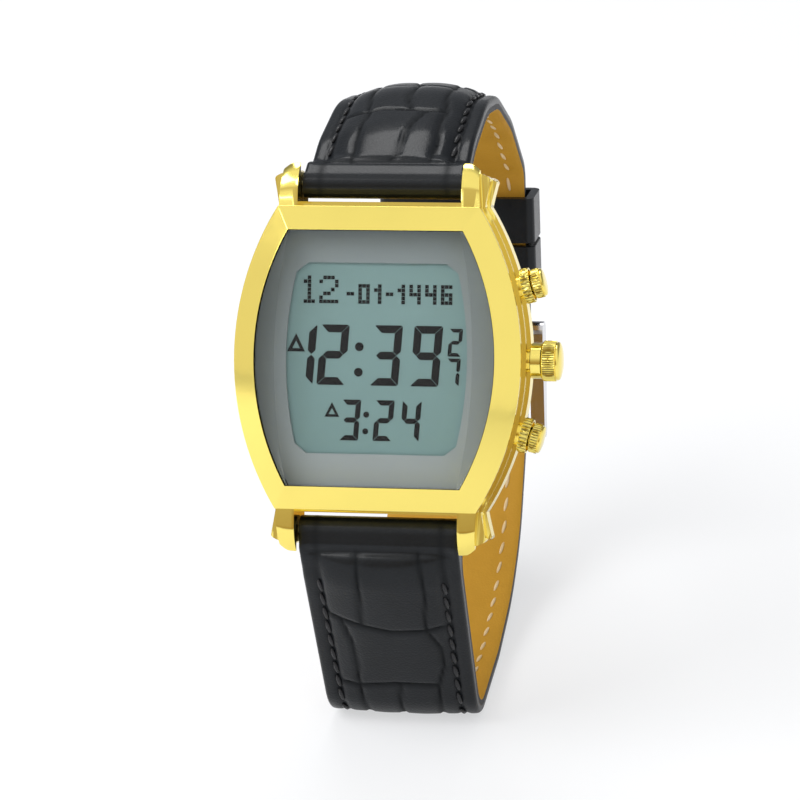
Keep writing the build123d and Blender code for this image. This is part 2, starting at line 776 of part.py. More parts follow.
def across_strap(profile, margin):
    """Side profile carried across the strap, tapering with it, short of its edges by a margin."""
    with BuildPart() as layer:
        with BuildSketch(side):
            add(profile)
        extrude(amount=strap_half_lug, both=True)
        with BuildSketch(plan.offset(-2 * bar_reach - case_half_width)):
            with BuildLine():
                near, far = strap_half_lug - margin, strap_half(2 * loop_depth) - margin
                Polyline((-near, -loop_depth), (near, -loop_depth), (near, 0), (far, 2 * loop_depth),
                         (-far, 2 * loop_depth), (-near, 0), close=True)
            make_face()
        extrude(amount=4 * bar_reach + 2 * case_half_width, mode=Mode.INTERSECT)
    return layer.part


def level(depth, route):
    """The same depth at every corner of a route."""
    return [depth] * len(route)


back_run = unit(back_top, back_bottom)
back_normal = outward(back_run, 1)
back_length = (Vector(*back_top) - Vector(*back_bottom)).length


def back_place(up, out=0):
    """Point of the side view on the back stretch, from its lower end and inner face."""
    point = Vector(*back_bottom) - back_run * up + back_normal * out
    return point.X, point.Y


# routes follow the inner face of the lining
tilt = Vector(cos(radians(upper_heading)), sin(radians(upper_heading)))
upper_bar = Vector(bar_depth, bar_reach) - outward(tilt, 1) * end_radius
upper_start = upper_bar + tilt * fold
upper_turn = upper_bar + tilt * upper_rise
upper_route = [(upper_start.X, upper_start.Y), (upper_turn.X, upper_turn.Y), *upper_crest, back_top]
cover_route = upper_route + [back_bottom]
lining_route = upper_route + [back_place(fold)]

tail_place = strap_thin + layer_gap
elbow_up = (elbow_height - back_place(0, tail_place)[1]) / -back_run.Y
elbow = back_place(elbow_up, tail_place)
tail_end = back_place(fixed_keeper_place + 2 * keeper_width + keeper_spacing + tail_overlap, tail_place)
lower_y = bar_depth + end_radius
lower_route = [(lower_y, -bar_reach - fold), (lower_y, -bar_reach - fold - lower_drop),
               foot_front, foot_back, *lower_back, elbow, tail_end]

straps = {
    "upper": (lining_route, cover_route, upper_radii, upper_padding, 1, upper_heading),
    "lower": (lower_route, lower_route, lower_radii, lower_padding, -1, -90),
}
hinge = back_place(0, strap_thin - hinge_inset)
far_run = unit(elbow, lower_back[-1])           # down the strap below the elbow
far_normal = outward(far_run, 1)


def buckle_place(along, out):
    """Point of the side view from the elbow, down the strap and out of its inner face."""
    point = Vector(*elbow) + far_run * along + far_normal * out
    return point.X, point.Y


hinge_along = (Vector(*hinge) - Vector(*elbow)).dot(far_run)
hinge_out = (Vector(*hinge) - Vector(*elbow)).dot(far_normal)
far_bar_out = strap_thin + layer_gap + far_bar_radius
far_bar_along = hinge_along + sqrt(buckle_length**2 - (far_bar_out - hinge_out)**2)
far_bar = buckle_place(far_bar_along, far_bar_out)
tongue_under = buckle_place(hinge_along + tongue_reach, -tongue_clearance - tongue_thickness / 2)
tongue_over = buckle_place(hinge_along + tongue_reach + tongue_lean, strap_thin + tongue_crest)
tongue_rest = far_bar_out + far_bar_radius + stop_gap + tongue_thickness / 2
tongue_tip = buckle_place(far_bar_along + 2 * far_bar_radius, tongue_rest + tongue_rise)
hole_along = hinge_along + tongue_reach + tongue_lean / 2 - stop_gap


def strap_hole(up_plane, places):
    """Buckle holes through the tail, rounded slots along it."""
    with BuildPart() as holes:
        with BuildSketch(up_plane):
            with Locations(*[(0, place) for place in places]):
                SlotOverall(hole_length, hole_width, rotation=90)
        extrude(amount=2 * strap_full, both=True)
    return holes.part


elbow_plane = Plane(origin=side_place(elbow), x_dir=(1, 0, 0), z_dir=side_direction(far_normal))
tail_plane = Plane(origin=side_place(elbow), x_dir=(1, 0, 0), z_dir=side_direction(back_normal))
low_holes = [hole_along + hole_pitch * count for count in range(holes_below + 1)]
high_holes = [hole_along - hole_pitch * count for count in range(1, holes_above + 1)]

for name, (thin_route, route, radii, padding_rises, hand, heading) in straps.items():
    padded_route = route[:len(padding_rises)]
    rises = [lining + rise for rise in padding_rises]
    bar_place = Vector(bar_depth, bar_reach * hand)
    fold_middle = bar_place + Vector(fold / 2, 0).rotate(Axis.Z, heading)

    with BuildPart() as padding:
        profile = band(padded_route, level(lining, padded_route), rises, radii, hand)
        add(across_strap(profile, dome_margin + cover))
    padding.part.label = f"{name}_strap_padding"
    export_step(padding.part, f"parts/{name}_strap_padding.step")

    with BuildPart() as strap_lining:
        profile = band(thin_route, level(0, thin_route), level(lining, thin_route), radii, hand)
        add(across_strap(profile, 0))
        if name == "lower":
            add(strap_hole(elbow_plane, low_holes), mode=Mode.SUBTRACT)
            add(strap_hole(tail_plane, high_holes), mode=Mode.SUBTRACT)
    strap_lining.part.label = f"{name}_strap_lining"
    export_step(strap_lining.part, f"parts/{name}_strap_lining.step")

    with BuildPart() as strap_cover:
        profile = band(route, level(lining, route), level(strap_thin, route), radii, hand)
        add(across_strap(profile, 0))
        dome = band(padded_route, level(lining, padded_route), [r + cover for r in rises], radii, hand)
        add(across_strap(dome, dome_margin))
        add(padding.part, mode=Mode.SUBTRACT)
        # end folded round the spring bar
        with BuildSketch() as roll:
            with Locations(bar_place):
                Circle(end_radius)
            with Locations(fold_middle):
                Rectangle(fold, strap_full, rotation=heading)
        add(across_strap(roll.sketch, 0))
        with BuildSketch(side):
            with Locations(bar_place):
                Circle(bar_bore)
        extrude(amount=strap_half_lug, both=True, mode=Mode.SUBTRACT)
        if name == "lower":
            add(strap_hole(elbow_plane, low_holes), mode=Mode.SUBTRACT)
            add(strap_hole(tail_plane, high_holes), mode=Mode.SUBTRACT)
        else:
            # end folded round the buckle bar, open in the middle for the tongue
            with BuildSketch() as turn:
                with BuildLine():
                    Polyline(back_place(0), back_place(fold), back_place(fold, strap_thin),
                             back_place(0, strap_thin), close=True)
                make_face()
                with Locations(hinge):
                    Circle(hinge_inset)
            add(across_strap(turn.sketch, 0))
            with BuildSketch(side):
                with Locations(hinge):
                    Circle(buckle_bar_radius + running_gap)
            extrude(amount=strap_half_lug, both=True, mode=Mode.SUBTRACT)
            with BuildSketch(side):
                with Locations(hinge):
                    Circle(fold)
            extrude(amount=tongue_slot_half, both=True, mode=Mode.SUBTRACT)
    strap_cover.part.label = f"{name}_strap_cover"
    export_step(strap_cover.part, f"parts/{name}_strap_cover.step")

# ---------------------------------------------------------------- keepers
stack = 2 * strap_thin + layer_gap
up_back = side_direction(-back_run)
free_keeper_place = fixed_keeper_place + keeper_width + keeper_spacing
keeper_places = {"fixed_keeper": (fixed_keeper_place, 0), "free_keeper": (free_keeper_place, layer_gap)}
for name, (place, slack) in keeper_places.items():
    with BuildPart() as keeper:
        middle = back_place(place, stack / 2)
        half = strap_half(back_top[0]) + layer_gap
        high = stack + 2 * layer_gap if slack else stack + layer_gap
        with BuildSketch(Plane(origin=side_place(middle), x_dir=(1, 0, 0), z_dir=up_back)):
            with Locations((0, 0 if slack else layer_gap / 2)):
                RectangleRounded(2 * (half + keeper_wall), high + 2 * keeper_wall, keeper_wall)
                Rectangle(2 * half, high, mode=Mode.SUBTRACT)
        extrude(amount=keeper_width)
    keeper.part.label = name
    export_step(keeper.part, f"parts/{name}.step")

# ---------------------------------------------------------------- buckle
with BuildPart() as buckle_frame:
    for face, way in ((buckle_inner, 1), (-buckle_inner, -1)):
        with BuildSketch(side.offset(face)):
            with Locations(hinge):
                Circle(ear_radius)
            with Locations(far_bar):
                Circle(far_bar_radius)
            make_hull()
        extrude(amount=way * (buckle_outer - buckle_inner))
    with BuildSketch(side):
        with Locations(far_bar):
            Circle(far_bar_radius)
    extrude(amount=buckle_inner, both=True)
    with BuildSketch(side):
        with Locations(hinge):
            Circle(buckle_pin_radius + running_gap)
    extrude(amount=buckle_pin_end + running_gap, both=True, mode=Mode.SUBTRACT)
buckle_frame.part.label = "buckle_frame"
export_step(buckle_frame.part, "parts/buckle_frame.step")

with BuildPart() as buckle_bar:
    with BuildSketch(side):
        with Locations(hinge):
            Circle(buckle_bar_radius)
    extrude(amount=buckle_inner - running_gap, both=True)
    with BuildSketch(side):
        with Locations(hinge):
            Circle(buckle_pin_radius)
    extrude(amount=buckle_pin_end, both=True)
buckle_bar.part.label = "buckle_bar"
export_step(buckle_bar.part, "parts/buckle_bar.step")

with BuildPart() as buckle_tongue:
    root = Vector(*hinge) + unit(hinge, tongue_under) * buckle_bar_radius
    tongue_route = [(root.X, root.Y), tongue_under, tongue_over, tongue_tip]
    half = tongue_thickness / 2
    with BuildSketch(side):
        add(band(tongue_route, level(-half, tongue_route), level(half, tongue_route), [1, 1], 1))
        with Locations(hinge):
            Circle(tongue_collar)
            Circle(buckle_bar_radius + running_gap, mode=Mode.SUBTRACT)
    extrude(amount=tongue_half_width, both=True)
buckle_tongue.part.label = "buckle_tongue"
export_step(buckle_tongue.part, "parts/buckle_tongue.step")
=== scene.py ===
# %% [markdown]
# # A digital prayer-time wristwatch
#
# The watch has a gold tonneau case with a liquid crystal display and a padded black strap,
# buckled into a loop that stands on its own. The CAD model gives the frame: every case part, button
# and buckle part already sits where it belongs. This lesson dresses that frame: it softens the
# metal edges, builds the embossed and stitched leather, draws the display, and lights it all.
#
# Everything is in metres. Most pieces are easier to think of in millimetres on the leaning head
# of the watch, so they are modelled there and then carried into the frame by one matrix.

import json
import math

import bmesh
import bpy
import numpy as np
from mathutils import Matrix, Vector


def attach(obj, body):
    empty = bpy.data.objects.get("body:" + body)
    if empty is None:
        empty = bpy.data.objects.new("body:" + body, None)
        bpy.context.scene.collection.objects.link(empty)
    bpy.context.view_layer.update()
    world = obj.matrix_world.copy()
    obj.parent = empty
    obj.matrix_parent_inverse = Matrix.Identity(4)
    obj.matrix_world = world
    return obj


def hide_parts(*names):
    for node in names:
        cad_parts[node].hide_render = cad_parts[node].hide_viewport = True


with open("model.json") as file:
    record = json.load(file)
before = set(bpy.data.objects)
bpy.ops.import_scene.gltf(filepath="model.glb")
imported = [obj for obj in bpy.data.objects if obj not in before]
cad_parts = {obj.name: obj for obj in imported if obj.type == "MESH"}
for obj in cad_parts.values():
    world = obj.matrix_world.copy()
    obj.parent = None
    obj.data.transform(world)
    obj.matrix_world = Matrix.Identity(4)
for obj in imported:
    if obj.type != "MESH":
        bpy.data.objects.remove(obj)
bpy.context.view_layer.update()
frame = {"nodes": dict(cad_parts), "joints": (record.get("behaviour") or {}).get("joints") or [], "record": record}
MM = 0.001

# %% [markdown]
# ## Axes of the head
#
# The dial leans back, so its directions are read from the record's mount on the case back: the
# mount's axis points into the wrist. The cross product of two directions gives the third. A matrix
# made from three directions and the middle of the case then turns millimetres on the head into
# metres in the frame.

# %% Axes of the head
case_back_mount = next(m for m in frame["record"]["mounts"] if m["name"] == "case_back_face")
case_back_depth = 5.0                       # behind the middle of the case
into = Vector(case_back_mount["axis"])      # into the wrist
right = Vector((1, 0, 0))                   # to 3 o'clock
noon = right.cross(into)                    # to 12 o'clock
case_middle = Vector(case_back_mount["pos_m"]) - into * case_back_depth * MM


def axes(x, y, z):
    """Matrix from millimetres along three directions at the middle of the case to the frame."""
    turn = Matrix((x, y, z)).transposed().to_4x4()
    return Matrix.Translation(case_middle) @ turn @ Matrix.Scale(MM, 4)


dial = axes(right, noon, -into)             # x to 3 o'clock, y to 12, z to the viewer
side = axes(into, noon, right)              # x into the wrist, y to 12, z to 3 o'clock
plan = axes(right, into, noon)              # x to 3 o'clock, y into the wrist, z to 12
lean = math.asin(-into.z)
print("dial leans back", round(math.degrees(lean), 1), "degrees")

# %% [markdown]
# ## Camera
#
# A long lens from about half a metre shows the dial almost square on, a little from the right.
# The camera stays level with the dial, not with the floor, so it is placed in the head's axes too.
# The aim is moved off the middle of the case by the distance at which the case stands from the
# middle of the view.

# %% Camera
camera_distance = 450.0                     # from the middle of the case
camera_turn, camera_rise, camera_roll = (math.radians(a) for a in (11.0, 2.0, 0.742))
camera_lens = 163.96                        # for a sensor 36 mm wide
aim_offset = Vector((2.03, -5.17))          # the view's middle from the case's middle

back = Vector((
    math.sin(camera_turn) * math.cos(camera_rise),
    -math.cos(camera_turn) * math.cos(camera_rise),
    math.sin(camera_rise),
))
level = (-back).cross(Vector((0, 0, 1))).normalized()
upright = level.cross(-back)
across = math.cos(camera_roll) * level + math.sin(camera_roll) * upright
above = math.cos(camera_roll) * upright - math.sin(camera_roll) * level
eye = camera_distance * back + aim_offset.x * across + aim_offset.y * above

camera = bpy.data.objects.new("camera", bpy.data.cameras.new("camera"))
bpy.context.scene.collection.objects.link(camera)
bpy.context.scene.camera = camera
camera.data.sensor_width = 36.0
camera.data.lens = camera_lens
camera.data.clip_start = 0.01
plan_turn = (plan @ Matrix.Scale(1 / MM, 4)).to_3x3()
camera.matrix_world = Matrix.LocRotScale(
    plan @ eye, plan_turn @ Matrix((across, above, back)).transposed(), None)
print("camera at", [round(v, 3) for v in camera.location])

# %% [markdown]
# ## Shader maths as Python
#
# A finish needs many Math nodes. Here a small class wraps an output socket, and Python's own
# operators add the nodes, so that a mask reads like a formula. One method adds any other node:
# its settings first, then the values and links of its sockets. The same classes serve the
# materials, the world and the floor.

# %% Finishes
class Wire:
    """An output socket that takes part in Python expressions."""

    def __init__(self, nodes, socket):
        self.nodes, self.socket = nodes, socket

    def maths(self, operation, *values):
        return self.nodes.node("Math", {"operation": operation}, dict(enumerate(values)))

    def __add__(self, other):
        return self.maths("ADD", self, other)

    def __rsub__(self, other):
        return self.maths("SUBTRACT", other, self)

    def __mul__(self, other):
        return self.maths("MULTIPLY", self, other)

    __radd__ = __add__
    __rmul__ = __mul__


class Nodes:
    """A node tree, filled a node at a time."""

    def __init__(self, tree):
        self.tree = tree

    def fill(self, made, sockets):
        """Gives each socket of a node its value or its link."""
        for socket, value in sockets.items():
            if isinstance(value, Wire):
                self.tree.links.new(value.socket, made.inputs[socket])
            else:
                made.inputs[socket].default_value = value

    def node(self, kind, settings=None, sockets=None, output=0):
        """Adds a node and returns one of its outputs."""
        made = self.tree.nodes.new("ShaderNode" + kind)
        for name, value in (settings or {}).items():
            setattr(made, name, value)
        self.fill(made, sockets or {})
        return Wire(self, made.outputs[output])

    def mix(self, share, first, second):
        """Mix of two colours."""
        return self.node("Mix", {"data_type": "RGBA"}, {0: share, 6: first, 7: second}, 2)

    def between(self, value, low, high, start=0.0, finish=1.0):
        """A value's place between low and high, carried to the range from start to finish."""
        return self.node("MapRange", {}, {0: value, 1: low, 2: high, 3: start, 4: finish})


class Finish(Nodes):
    """A material round one Principled shader."""

    def __init__(self, name, **constants):
        self.material = bpy.data.materials.new(name)
        self.material.use_nodes = True
        super().__init__(self.material.node_tree)
        self.shader = self.tree.nodes["Principled BSDF"]
        self.use(**constants)

    def use(self, **sockets):
        """Sends wires or values to the shader."""
        self.fill(self.shader, {k.replace("_", " "): v for k, v in sockets.items()})
        return self

    def coordinates(self, matrix=None):
        """Object coordinates, or millimetres in the axes that a matrix stands for."""
        where = self.node("TexCoord", output="Object")
        if matrix is None:
            return where
        place, turn, scale = matrix.inverted().decompose()
        return self.node("Mapping", {}, {"Vector": where, "Location": place,
                                         "Rotation": turn.to_euler(), "Scale": scale})

    def noise(self, size, where=None, detail=2.0, roughness=0.5):
        """Noise whose blobs are about size metres across."""
        return self.node("TexNoise", {}, {"Vector": where or self.coordinates(), "Scale": 1 / size,
                                          "Detail": detail, "Roughness": roughness}, "Fac")

    def hollow(self):
        """How deep a place lies in a groove of the mesh, from 0 to 1."""
        return self.node("Attribute", {"attribute_name": "hollow"}, output="Fac")

    def bump(self, height, depth, strength=1.0):
        """Relief that is depth metres deep for a height of 0 to 1."""
        relief = self.node("Bump", {}, {"Height": height, "Distance": depth, "Strength": strength})
        self.use(Normal=relief)

    def outcome(self, shader):
        """Shows another shader than the Principled one."""
        self.fill(self.tree.nodes["Material Output"], {"Surface": shader})


def colour(red, green, blue):
    return (red, green, blue, 1.0)


# %% [markdown]
# ## Metals
#
# Gold plate is a metal whose colour tints all that it mirrors. Real plate is never perfect: its
# gloss varies by fingerprints and polishing, so a slow noise moves the roughness, and a very fine
# one gives the faint orange-peel of polished plate. Where the mesh carries the attribute "hollow",
# as between the teeth of a knurl, the metal gets painted shade. The steel parts are the same recipe
# in grey.

# %% Metals
def metal(name, tint, roughness, spread, haze, peel=0.000002):
    """Metal with slow changes of gloss, haze metres across, and a faint peel."""
    finish = Finish(name, Metallic=1.0)
    cloud = finish.noise(haze, detail=4.0)
    shade = finish.mix(cloud, colour(*(0.94 * v for v in tint)), colour(*tint))
    # Painted shade: darker where the attribute "hollow" marks a groove, as between knurl teeth.
    shade = finish.mix(0.8 * finish.hollow(), shade, colour(*(0.12 * v for v in tint)))
    finish.use(Base_Color=shade, Roughness=roughness + spread * cloud)
    finish.bump(finish.noise(0.0011, detail=1.0), peel)
    return finish


gold = metal("gold plate", (0.95, 0.775, 0.19), 0.08, 0.08, 0.006)
steel = metal("polished steel", (0.62, 0.62, 0.64), 0.12, 0.10, 0.004)
plain_steel = metal("turned steel", (0.55, 0.55, 0.56), 0.25, 0.12, 0.003)
speaker_brass = metal("speaker brass", (0.80, 0.62, 0.32), 0.28, 0.10, 0.003)

# %% [markdown]
# ## Leather
#
# The strap's black calf is glazed over a pressed crocodile pattern. The big scales are modelled in
# the mesh; the material adds what is too small to model: pebbled grain, pores and faint creases.
# The attribute "hollow" says how deep a point lies in a groove or in the valley of the stitches.
# There the colour is darker, which is painted shade, and the glaze stays on the tops of the scales.
# The lining is plain tan calf.

# %% Leather
def leather(name, low, high, roughness, grain, depth, coat=0.0):
    """Leather with cloudy dye and a pebbled grain, grain metres across and depth metres deep."""
    finish = Finish(name, Specular_IOR_Level=0.12, Coat_Roughness=0.16)
    top = 1.0 - finish.hollow()
    cloud = finish.noise(0.005, detail=5.0, roughness=0.6)
    pebbles = finish.node("TexVoronoi", {"feature": "F1"},
                          {"Vector": finish.coordinates(), "Scale": 1 / grain}, "Distance")
    fine = finish.noise(grain * 0.35, detail=3.0)
    relief = 1.0 - pebbles + 0.5 * fine
    # Painted shade: the colour falls to the low shade in grooves and along the stitches.
    shade = finish.mix(top * cloud, colour(*low), colour(*high))
    finish.use(Base_Color=shade, Roughness=roughness + 0.16 * fine + 0.3 * (1.0 - top),
               Coat_Weight=coat * top)
    finish.bump(relief, depth)
    return finish


black_leather = leather("black crocodile calf", (0.003, 0.004, 0.005), (0.009, 0.011, 0.014),
                        0.30, 0.00028, 0.000025, coat=0.25)
tan_leather = leather("tan lining calf", (0.42, 0.22, 0.022), (0.53, 0.285, 0.034),
                      0.52, 0.00035, 0.000018)
edge_paint = leather("black edge paint", (0.010, 0.010, 0.012), (0.020, 0.020, 0.023),
                     0.40, 0.0006, 0.00002)
black_thread = leather("black waxed thread", (0.008, 0.008, 0.009), (0.020, 0.020, 0.022),
                       0.25, 0.00022, 0.00004, coat=0.4)
beige_thread = leather("beige waxed thread", (0.62, 0.45, 0.22), (0.78, 0.62, 0.38),
                       0.45, 0.00022, 0.00004)

# %% [markdown]
# ## Glass, print and the parts inside
#
# The display and the printed mask lie under the crystal, so they only need quiet colours. Each has
# painted light: it runs from one shade at the foot to another at the head, as a panel does under a
# soft lamp, with a fine fleck of grain that keeps it from looking painted by a computer.

# %% Display and mask
def painted_light_print(name, foot, head, fleck_size, level, **constants):
    """Print with painted light, from one colour at the foot of the dial to another at its head."""
    finish = Finish(name, **constants)
    height = finish.node("SeparateXYZ", {}, {0: finish.coordinates(dial)}, "Y")
    shade = finish.mix(finish.between(height, -level, level), colour(*foot), colour(*head))
    fleck = finish.noise(fleck_size, detail=3.0)
    darker = finish.mix(0.06 * fleck, shade, colour(0, 0, 0))
    return finish.use(Base_Color=darker, Roughness=0.42 + 0.1 * fleck)


# Painted light: the display is a little lighter at the head of the dial.
display_glass = painted_light_print("liquid crystal", (0.175, 0.275, 0.270), (0.190, 0.292, 0.286), 0.003,
                          12.0, Specular_IOR_Level=0.15)
# Painted shade: the grey mask is darker at the head of the dial than at its foot.
mask_print = painted_light_print("grey print", (0.300, 0.332, 0.340), (0.215, 0.246, 0.252), 0.0004,
                       15.0, Specular_IOR_Level=0.15)
ink = painted_light_print("liquid crystal black", (0.006, 0.006, 0.007), (0.006, 0.007, 0.008), 0.002, 12.0,
                Specular_IOR_Level=0.1)

# %% [markdown]
# The crystal bends what is seen through it. True glass would also focus lamps into bright noise on
# the dial, so a Light Path node swaps it for a plain transparent shader whenever a lamp or daylight
# asks for the way through. A dark specular tint stands for the coating that keeps a display
# readable. The bevelled flanks get a darker glass, which paints shade on them, so two dark
# crescents frame the mask.

# %% Crystal
def clear(name, tint):
    """Glass that bends what is seen through it but lets lamps and daylight straight in."""
    finish = Finish(name, Base_Color=colour(*tint), Roughness=0.0, IOR=1.5, Transmission_Weight=1.0,
                    Specular_IOR_Level=0.15, Coat_Roughness=0.05,
                    Specular_Tint=colour(0.2, 0.2, 0.2))
    finish.use(Coat_Weight=0.08 * finish.noise(0.008, detail=3.0))
    straight = finish.node("BsdfTransparent", {}, {"Color": colour(*(v * v for v in tint))})
    shine = Wire(finish, finish.shader.outputs[0])
    for ray in ("Is Diffuse Ray", "Is Shadow Ray"):
        shine = finish.node("MixShader", {}, {0: finish.node("LightPath", output=ray),
                                              1: shine, 2: straight})
    finish.outcome(shine)
    return finish


crystal_glass = clear("mineral crystal", (0.99, 0.995, 0.995))
# Darker glass for the bevels: painted shade on the crystal's flanks.
bevel_shade_glass = clear("bevelled crystal", (0.70, 0.71, 0.71))

# %% [markdown]
# The parts inside the case are hidden, but each still gets a finish with a little life in it. One
# table says which finish belongs to which slot of the record, and the CAD nodes look theirs up.

# %% Parts inside the case
def moulded(name, tint, roughness, grain=0.0008):
    """Plastic, rubber or board with a fine mottle."""
    finish = Finish(name)
    fleck = finish.noise(grain, detail=3.0)
    shade = finish.mix(fleck, colour(*(0.85 * v for v in tint)), colour(*tint))
    finish.use(Base_Color=shade, Roughness=roughness + 0.15 * fleck)
    finish.bump(fleck, 0.00001)
    return finish


inner_finishes = {
    "seal_rubber": moulded("seal rubber", (0.03, 0.03, 0.03), 0.6),
    "connector_rubber": moulded("zebra rubber", (0.45, 0.38, 0.42), 0.6, 0.0003),
    "board_green": moulded("solder mask", (0.03, 0.16, 0.07), 0.35),
    "chip_black": moulded("chip epoxy", (0.02, 0.02, 0.022), 0.5, 0.0003),
    "frame_white": moulded("module plastic", (0.62, 0.62, 0.58), 0.45),
    "padding_felt": moulded("padding foam", (0.20, 0.18, 0.15), 0.9),
    "piezo_brass": speaker_brass,
    "plain_steel": plain_steel,
    "buckle_steel": steel,
    "gold_plate": gold,
    "display_glass": display_glass,
    "mask_grey": mask_print,
    "crystal_glass": crystal_glass,
    "black_leather": black_leather,
    "tan_leather": tan_leather,
}
slots = {row["node"]: row["material_slot"] for row in frame["record"]["subparts"]}
for node, piece in frame["nodes"].items():
    piece.data.materials.clear()
    piece.data.materials.append(inner_finishes[slots[node]].material)
print("finished", len(slots), "CAD nodes")

# %% [markdown]
# ## Finished pieces
#
# Every new piece goes through one function. It carries the mesh into the frame, shades it smooth
# except over sharp edges, gives it its body and its finishes, and hides the CAD nodes that it
# stands for. A Weighted Normal modifier keeps flat faces flat in reflections, which matters on
# polished metal.

# %% Finished pieces
def body_of(node):
    return next(b for b, nodes in frame["record"]["behaviour"]["bodies"].items() if node in nodes)


def finished(bm, name, finishes, stands_for=(), body=None, matrix=None, crease=35.0, flat=False):
    """Turns a bmesh into a piece that rides its body."""
    if matrix:
        bmesh.ops.transform(bm, matrix=matrix, verts=bm.verts)
    mesh = bpy.data.meshes.new(name)
    bm.to_mesh(mesh)
    bm.free()
    mesh.shade_smooth()
    mesh.set_sharp_from_angle(angle=math.radians(crease))
    for finish in finishes:
        mesh.materials.append(finish.material)
    piece = bpy.data.objects.new(name, mesh)
    bpy.context.scene.collection.objects.link(piece)
    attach(piece, body or body_of(stands_for[0]))
    if stands_for:
        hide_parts(*stands_for)
    if flat:
        piece.modifiers.new("flat faces", "WEIGHTED_NORMAL").keep_sharp = True
    print(name, "has", len(mesh.polygons), "faces")
    return piece


# %% [markdown]
# ## Metal parts with softened edges
#
# No polished edge is truly sharp: a fine rounding catches a bright line of light. Rather than model
# the case again, a copy of each CAD part is merged into one skin, its flat faces are joined, and
# the edges that turn clearly are bevelled, from a hair on the bezel to a third of a millimetre on
# the buckle. The leather keepers go the same way. A clamped bevel is nowhere wider than its
# tightest spot allows, so on a part with tiny faces, such as the case and the free keeper, it comes
# out too thin to see.

# %% Metal parts with softened edges
def skin(node):
    """A CAD node as one closed skin with its flat faces joined, in millimetres on the dial."""
    bm = bmesh.new()
    bm.from_mesh(frame["nodes"][node].data)
    bmesh.ops.remove_doubles(bm, verts=bm.verts, dist=0.002 * MM)
    bmesh.ops.dissolve_limit(bm, angle_limit=math.radians(0.3), verts=bm.verts, edges=bm.edges)
    bmesh.ops.transform(bm, matrix=dial.inverted(), verts=bm.verts)
    return bm


def softened(node, width, finish, segments=2, bm=None, turn=28.0):
    """A CAD node with its edges rounded by width millimetres."""
    bm = bm or skin(node)
    turning = [e for e in bm.edges if e.is_manifold and e.calc_face_angle() > math.radians(turn)]
    bmesh.ops.bevel(bm, geom=turning, offset=width, offset_type="OFFSET", segments=segments,
                    profile=0.5, affect="EDGES", clamp_overlap=True, material=-1)
    return finished(bm, node + "_softened", [finish], [node], matrix=dial, flat=True)


for node, width, finish, segments in (
        ("bezel", 0.05, gold, 2),
        ("buckle_frame", 0.35, steel, 3), ("buckle_tongue", 0.2, steel, 3),
        ("fixed_keeper", 0.4, black_leather, 3), ("free_keeper", 0.4, black_leather, 3)):
    softened(node, width, finish, segments)

# %% [markdown]
# ## Lugs
#
# Each lug is three stepped plates. On the CAD part their tips are nearly square; on a finished case
# the outer side of each tip is filed away in a generous curve. Cutting planes add the points that
# the curve needs, and then every point beyond the bezel moves back by an amount that grows towards
# the outer side of its own plate.

# %% Lugs
# Heights of the bezel's edge and of the plates' tips, from the middle of the case:
horn_root, middle_tip, front_tip = 19.3, 23.2, 24.3
front_plate_back, rear_plate_front = 2.45, 0.1
front_curve = (10.2, 2.05, 0.6, 3.0)        # where the curve starts, its width, its fall, its power
middle_curve = (12.3, 1.35, 0.55, 2.0)
rear_curve = (13.2, 0.9, 0.55, 2.0)
first_cut, cut_step, cuts_aside = 10.55, 0.3, 12
outer_plates, outer_lean = 12.6, 0.25       # their outer sides stand a little straighter

bm = skin("case_body")
for way in (-1, 1):
    for step in range(cuts_aside):
        bmesh.ops.bisect_plane(bm, geom=bm.verts[:] + bm.edges[:] + bm.faces[:], plane_no=(1, 0, 0),
                               plane_co=(way * (first_cut + cut_step * step), 0, 0))
for v in bm.verts:
    if v.co.z > front_plate_back or abs(v.co.y) > middle_tip:
        first, span, fall, power = front_curve
    else:
        first, span, fall, power = rear_curve if v.co.z < rear_plate_front else middle_curve
    out = min(max((abs(v.co.x) - first) / span, 0.0), 1.0)
    share = max((abs(v.co.y) - horn_root) / (front_tip - horn_root), 0.0)
    v.co.y -= math.copysign(fall * out ** power * share, v.co.y)
    v.co.x -= math.copysign(outer_lean * share * (abs(v.co.x) > outer_plates), v.co.x)
softened("case_body", 0.12, gold, bm=bm)

# %% [markdown]
# ## Crystal
#
# The crystal is a thick slab with two bevelled flanks. Its copy gets a hair of air over the printed
# mask, because glass and print in one place would flicker, and its bevels a darker glass, which
# paints shade on the flanks. A bevel is a face that is neither upright nor level.

# %% Crystal piece
mask_gap, steepest, flattest = 0.03, 0.3, 0.995
bm = skin("crystal")
lowest = min(v.co.z for v in bm.verts)
for v in bm.verts:
    v.co.z = max(v.co.z, lowest + mask_gap)
bm.normal_update()
# Bevel faces take the second, darker glass: painted shade.
for face in bm.faces:
    face.material_index = int(steepest < face.normal.z < flattest)
finished(bm, "crystal_bevelled", [crystal_glass, bevel_shade_glass], ["crystal"],
         matrix=dial, crease=3.0)

# %% [markdown]
# ## Display
#
# A liquid crystal shows black figures that stand a little above its green-grey back. A figure has
# seven bars whose ends are cut off along slanting lines, which a bisecting plane does well. The row
# of dots above is a small table of rows of text, one mark for each dot. Two hollow triangles mark
# the two times. Everything is drawn flat and one unit thick, and one matrix brings it to its place.

# %% Bars and figures
panel_top, ink_thickness = 3.3, 0.03
digit_slant = 0.075                         # shift to the right per unit of height
corner_cut = 0.22                           # of a bar's thickness, off a figure's outer corners


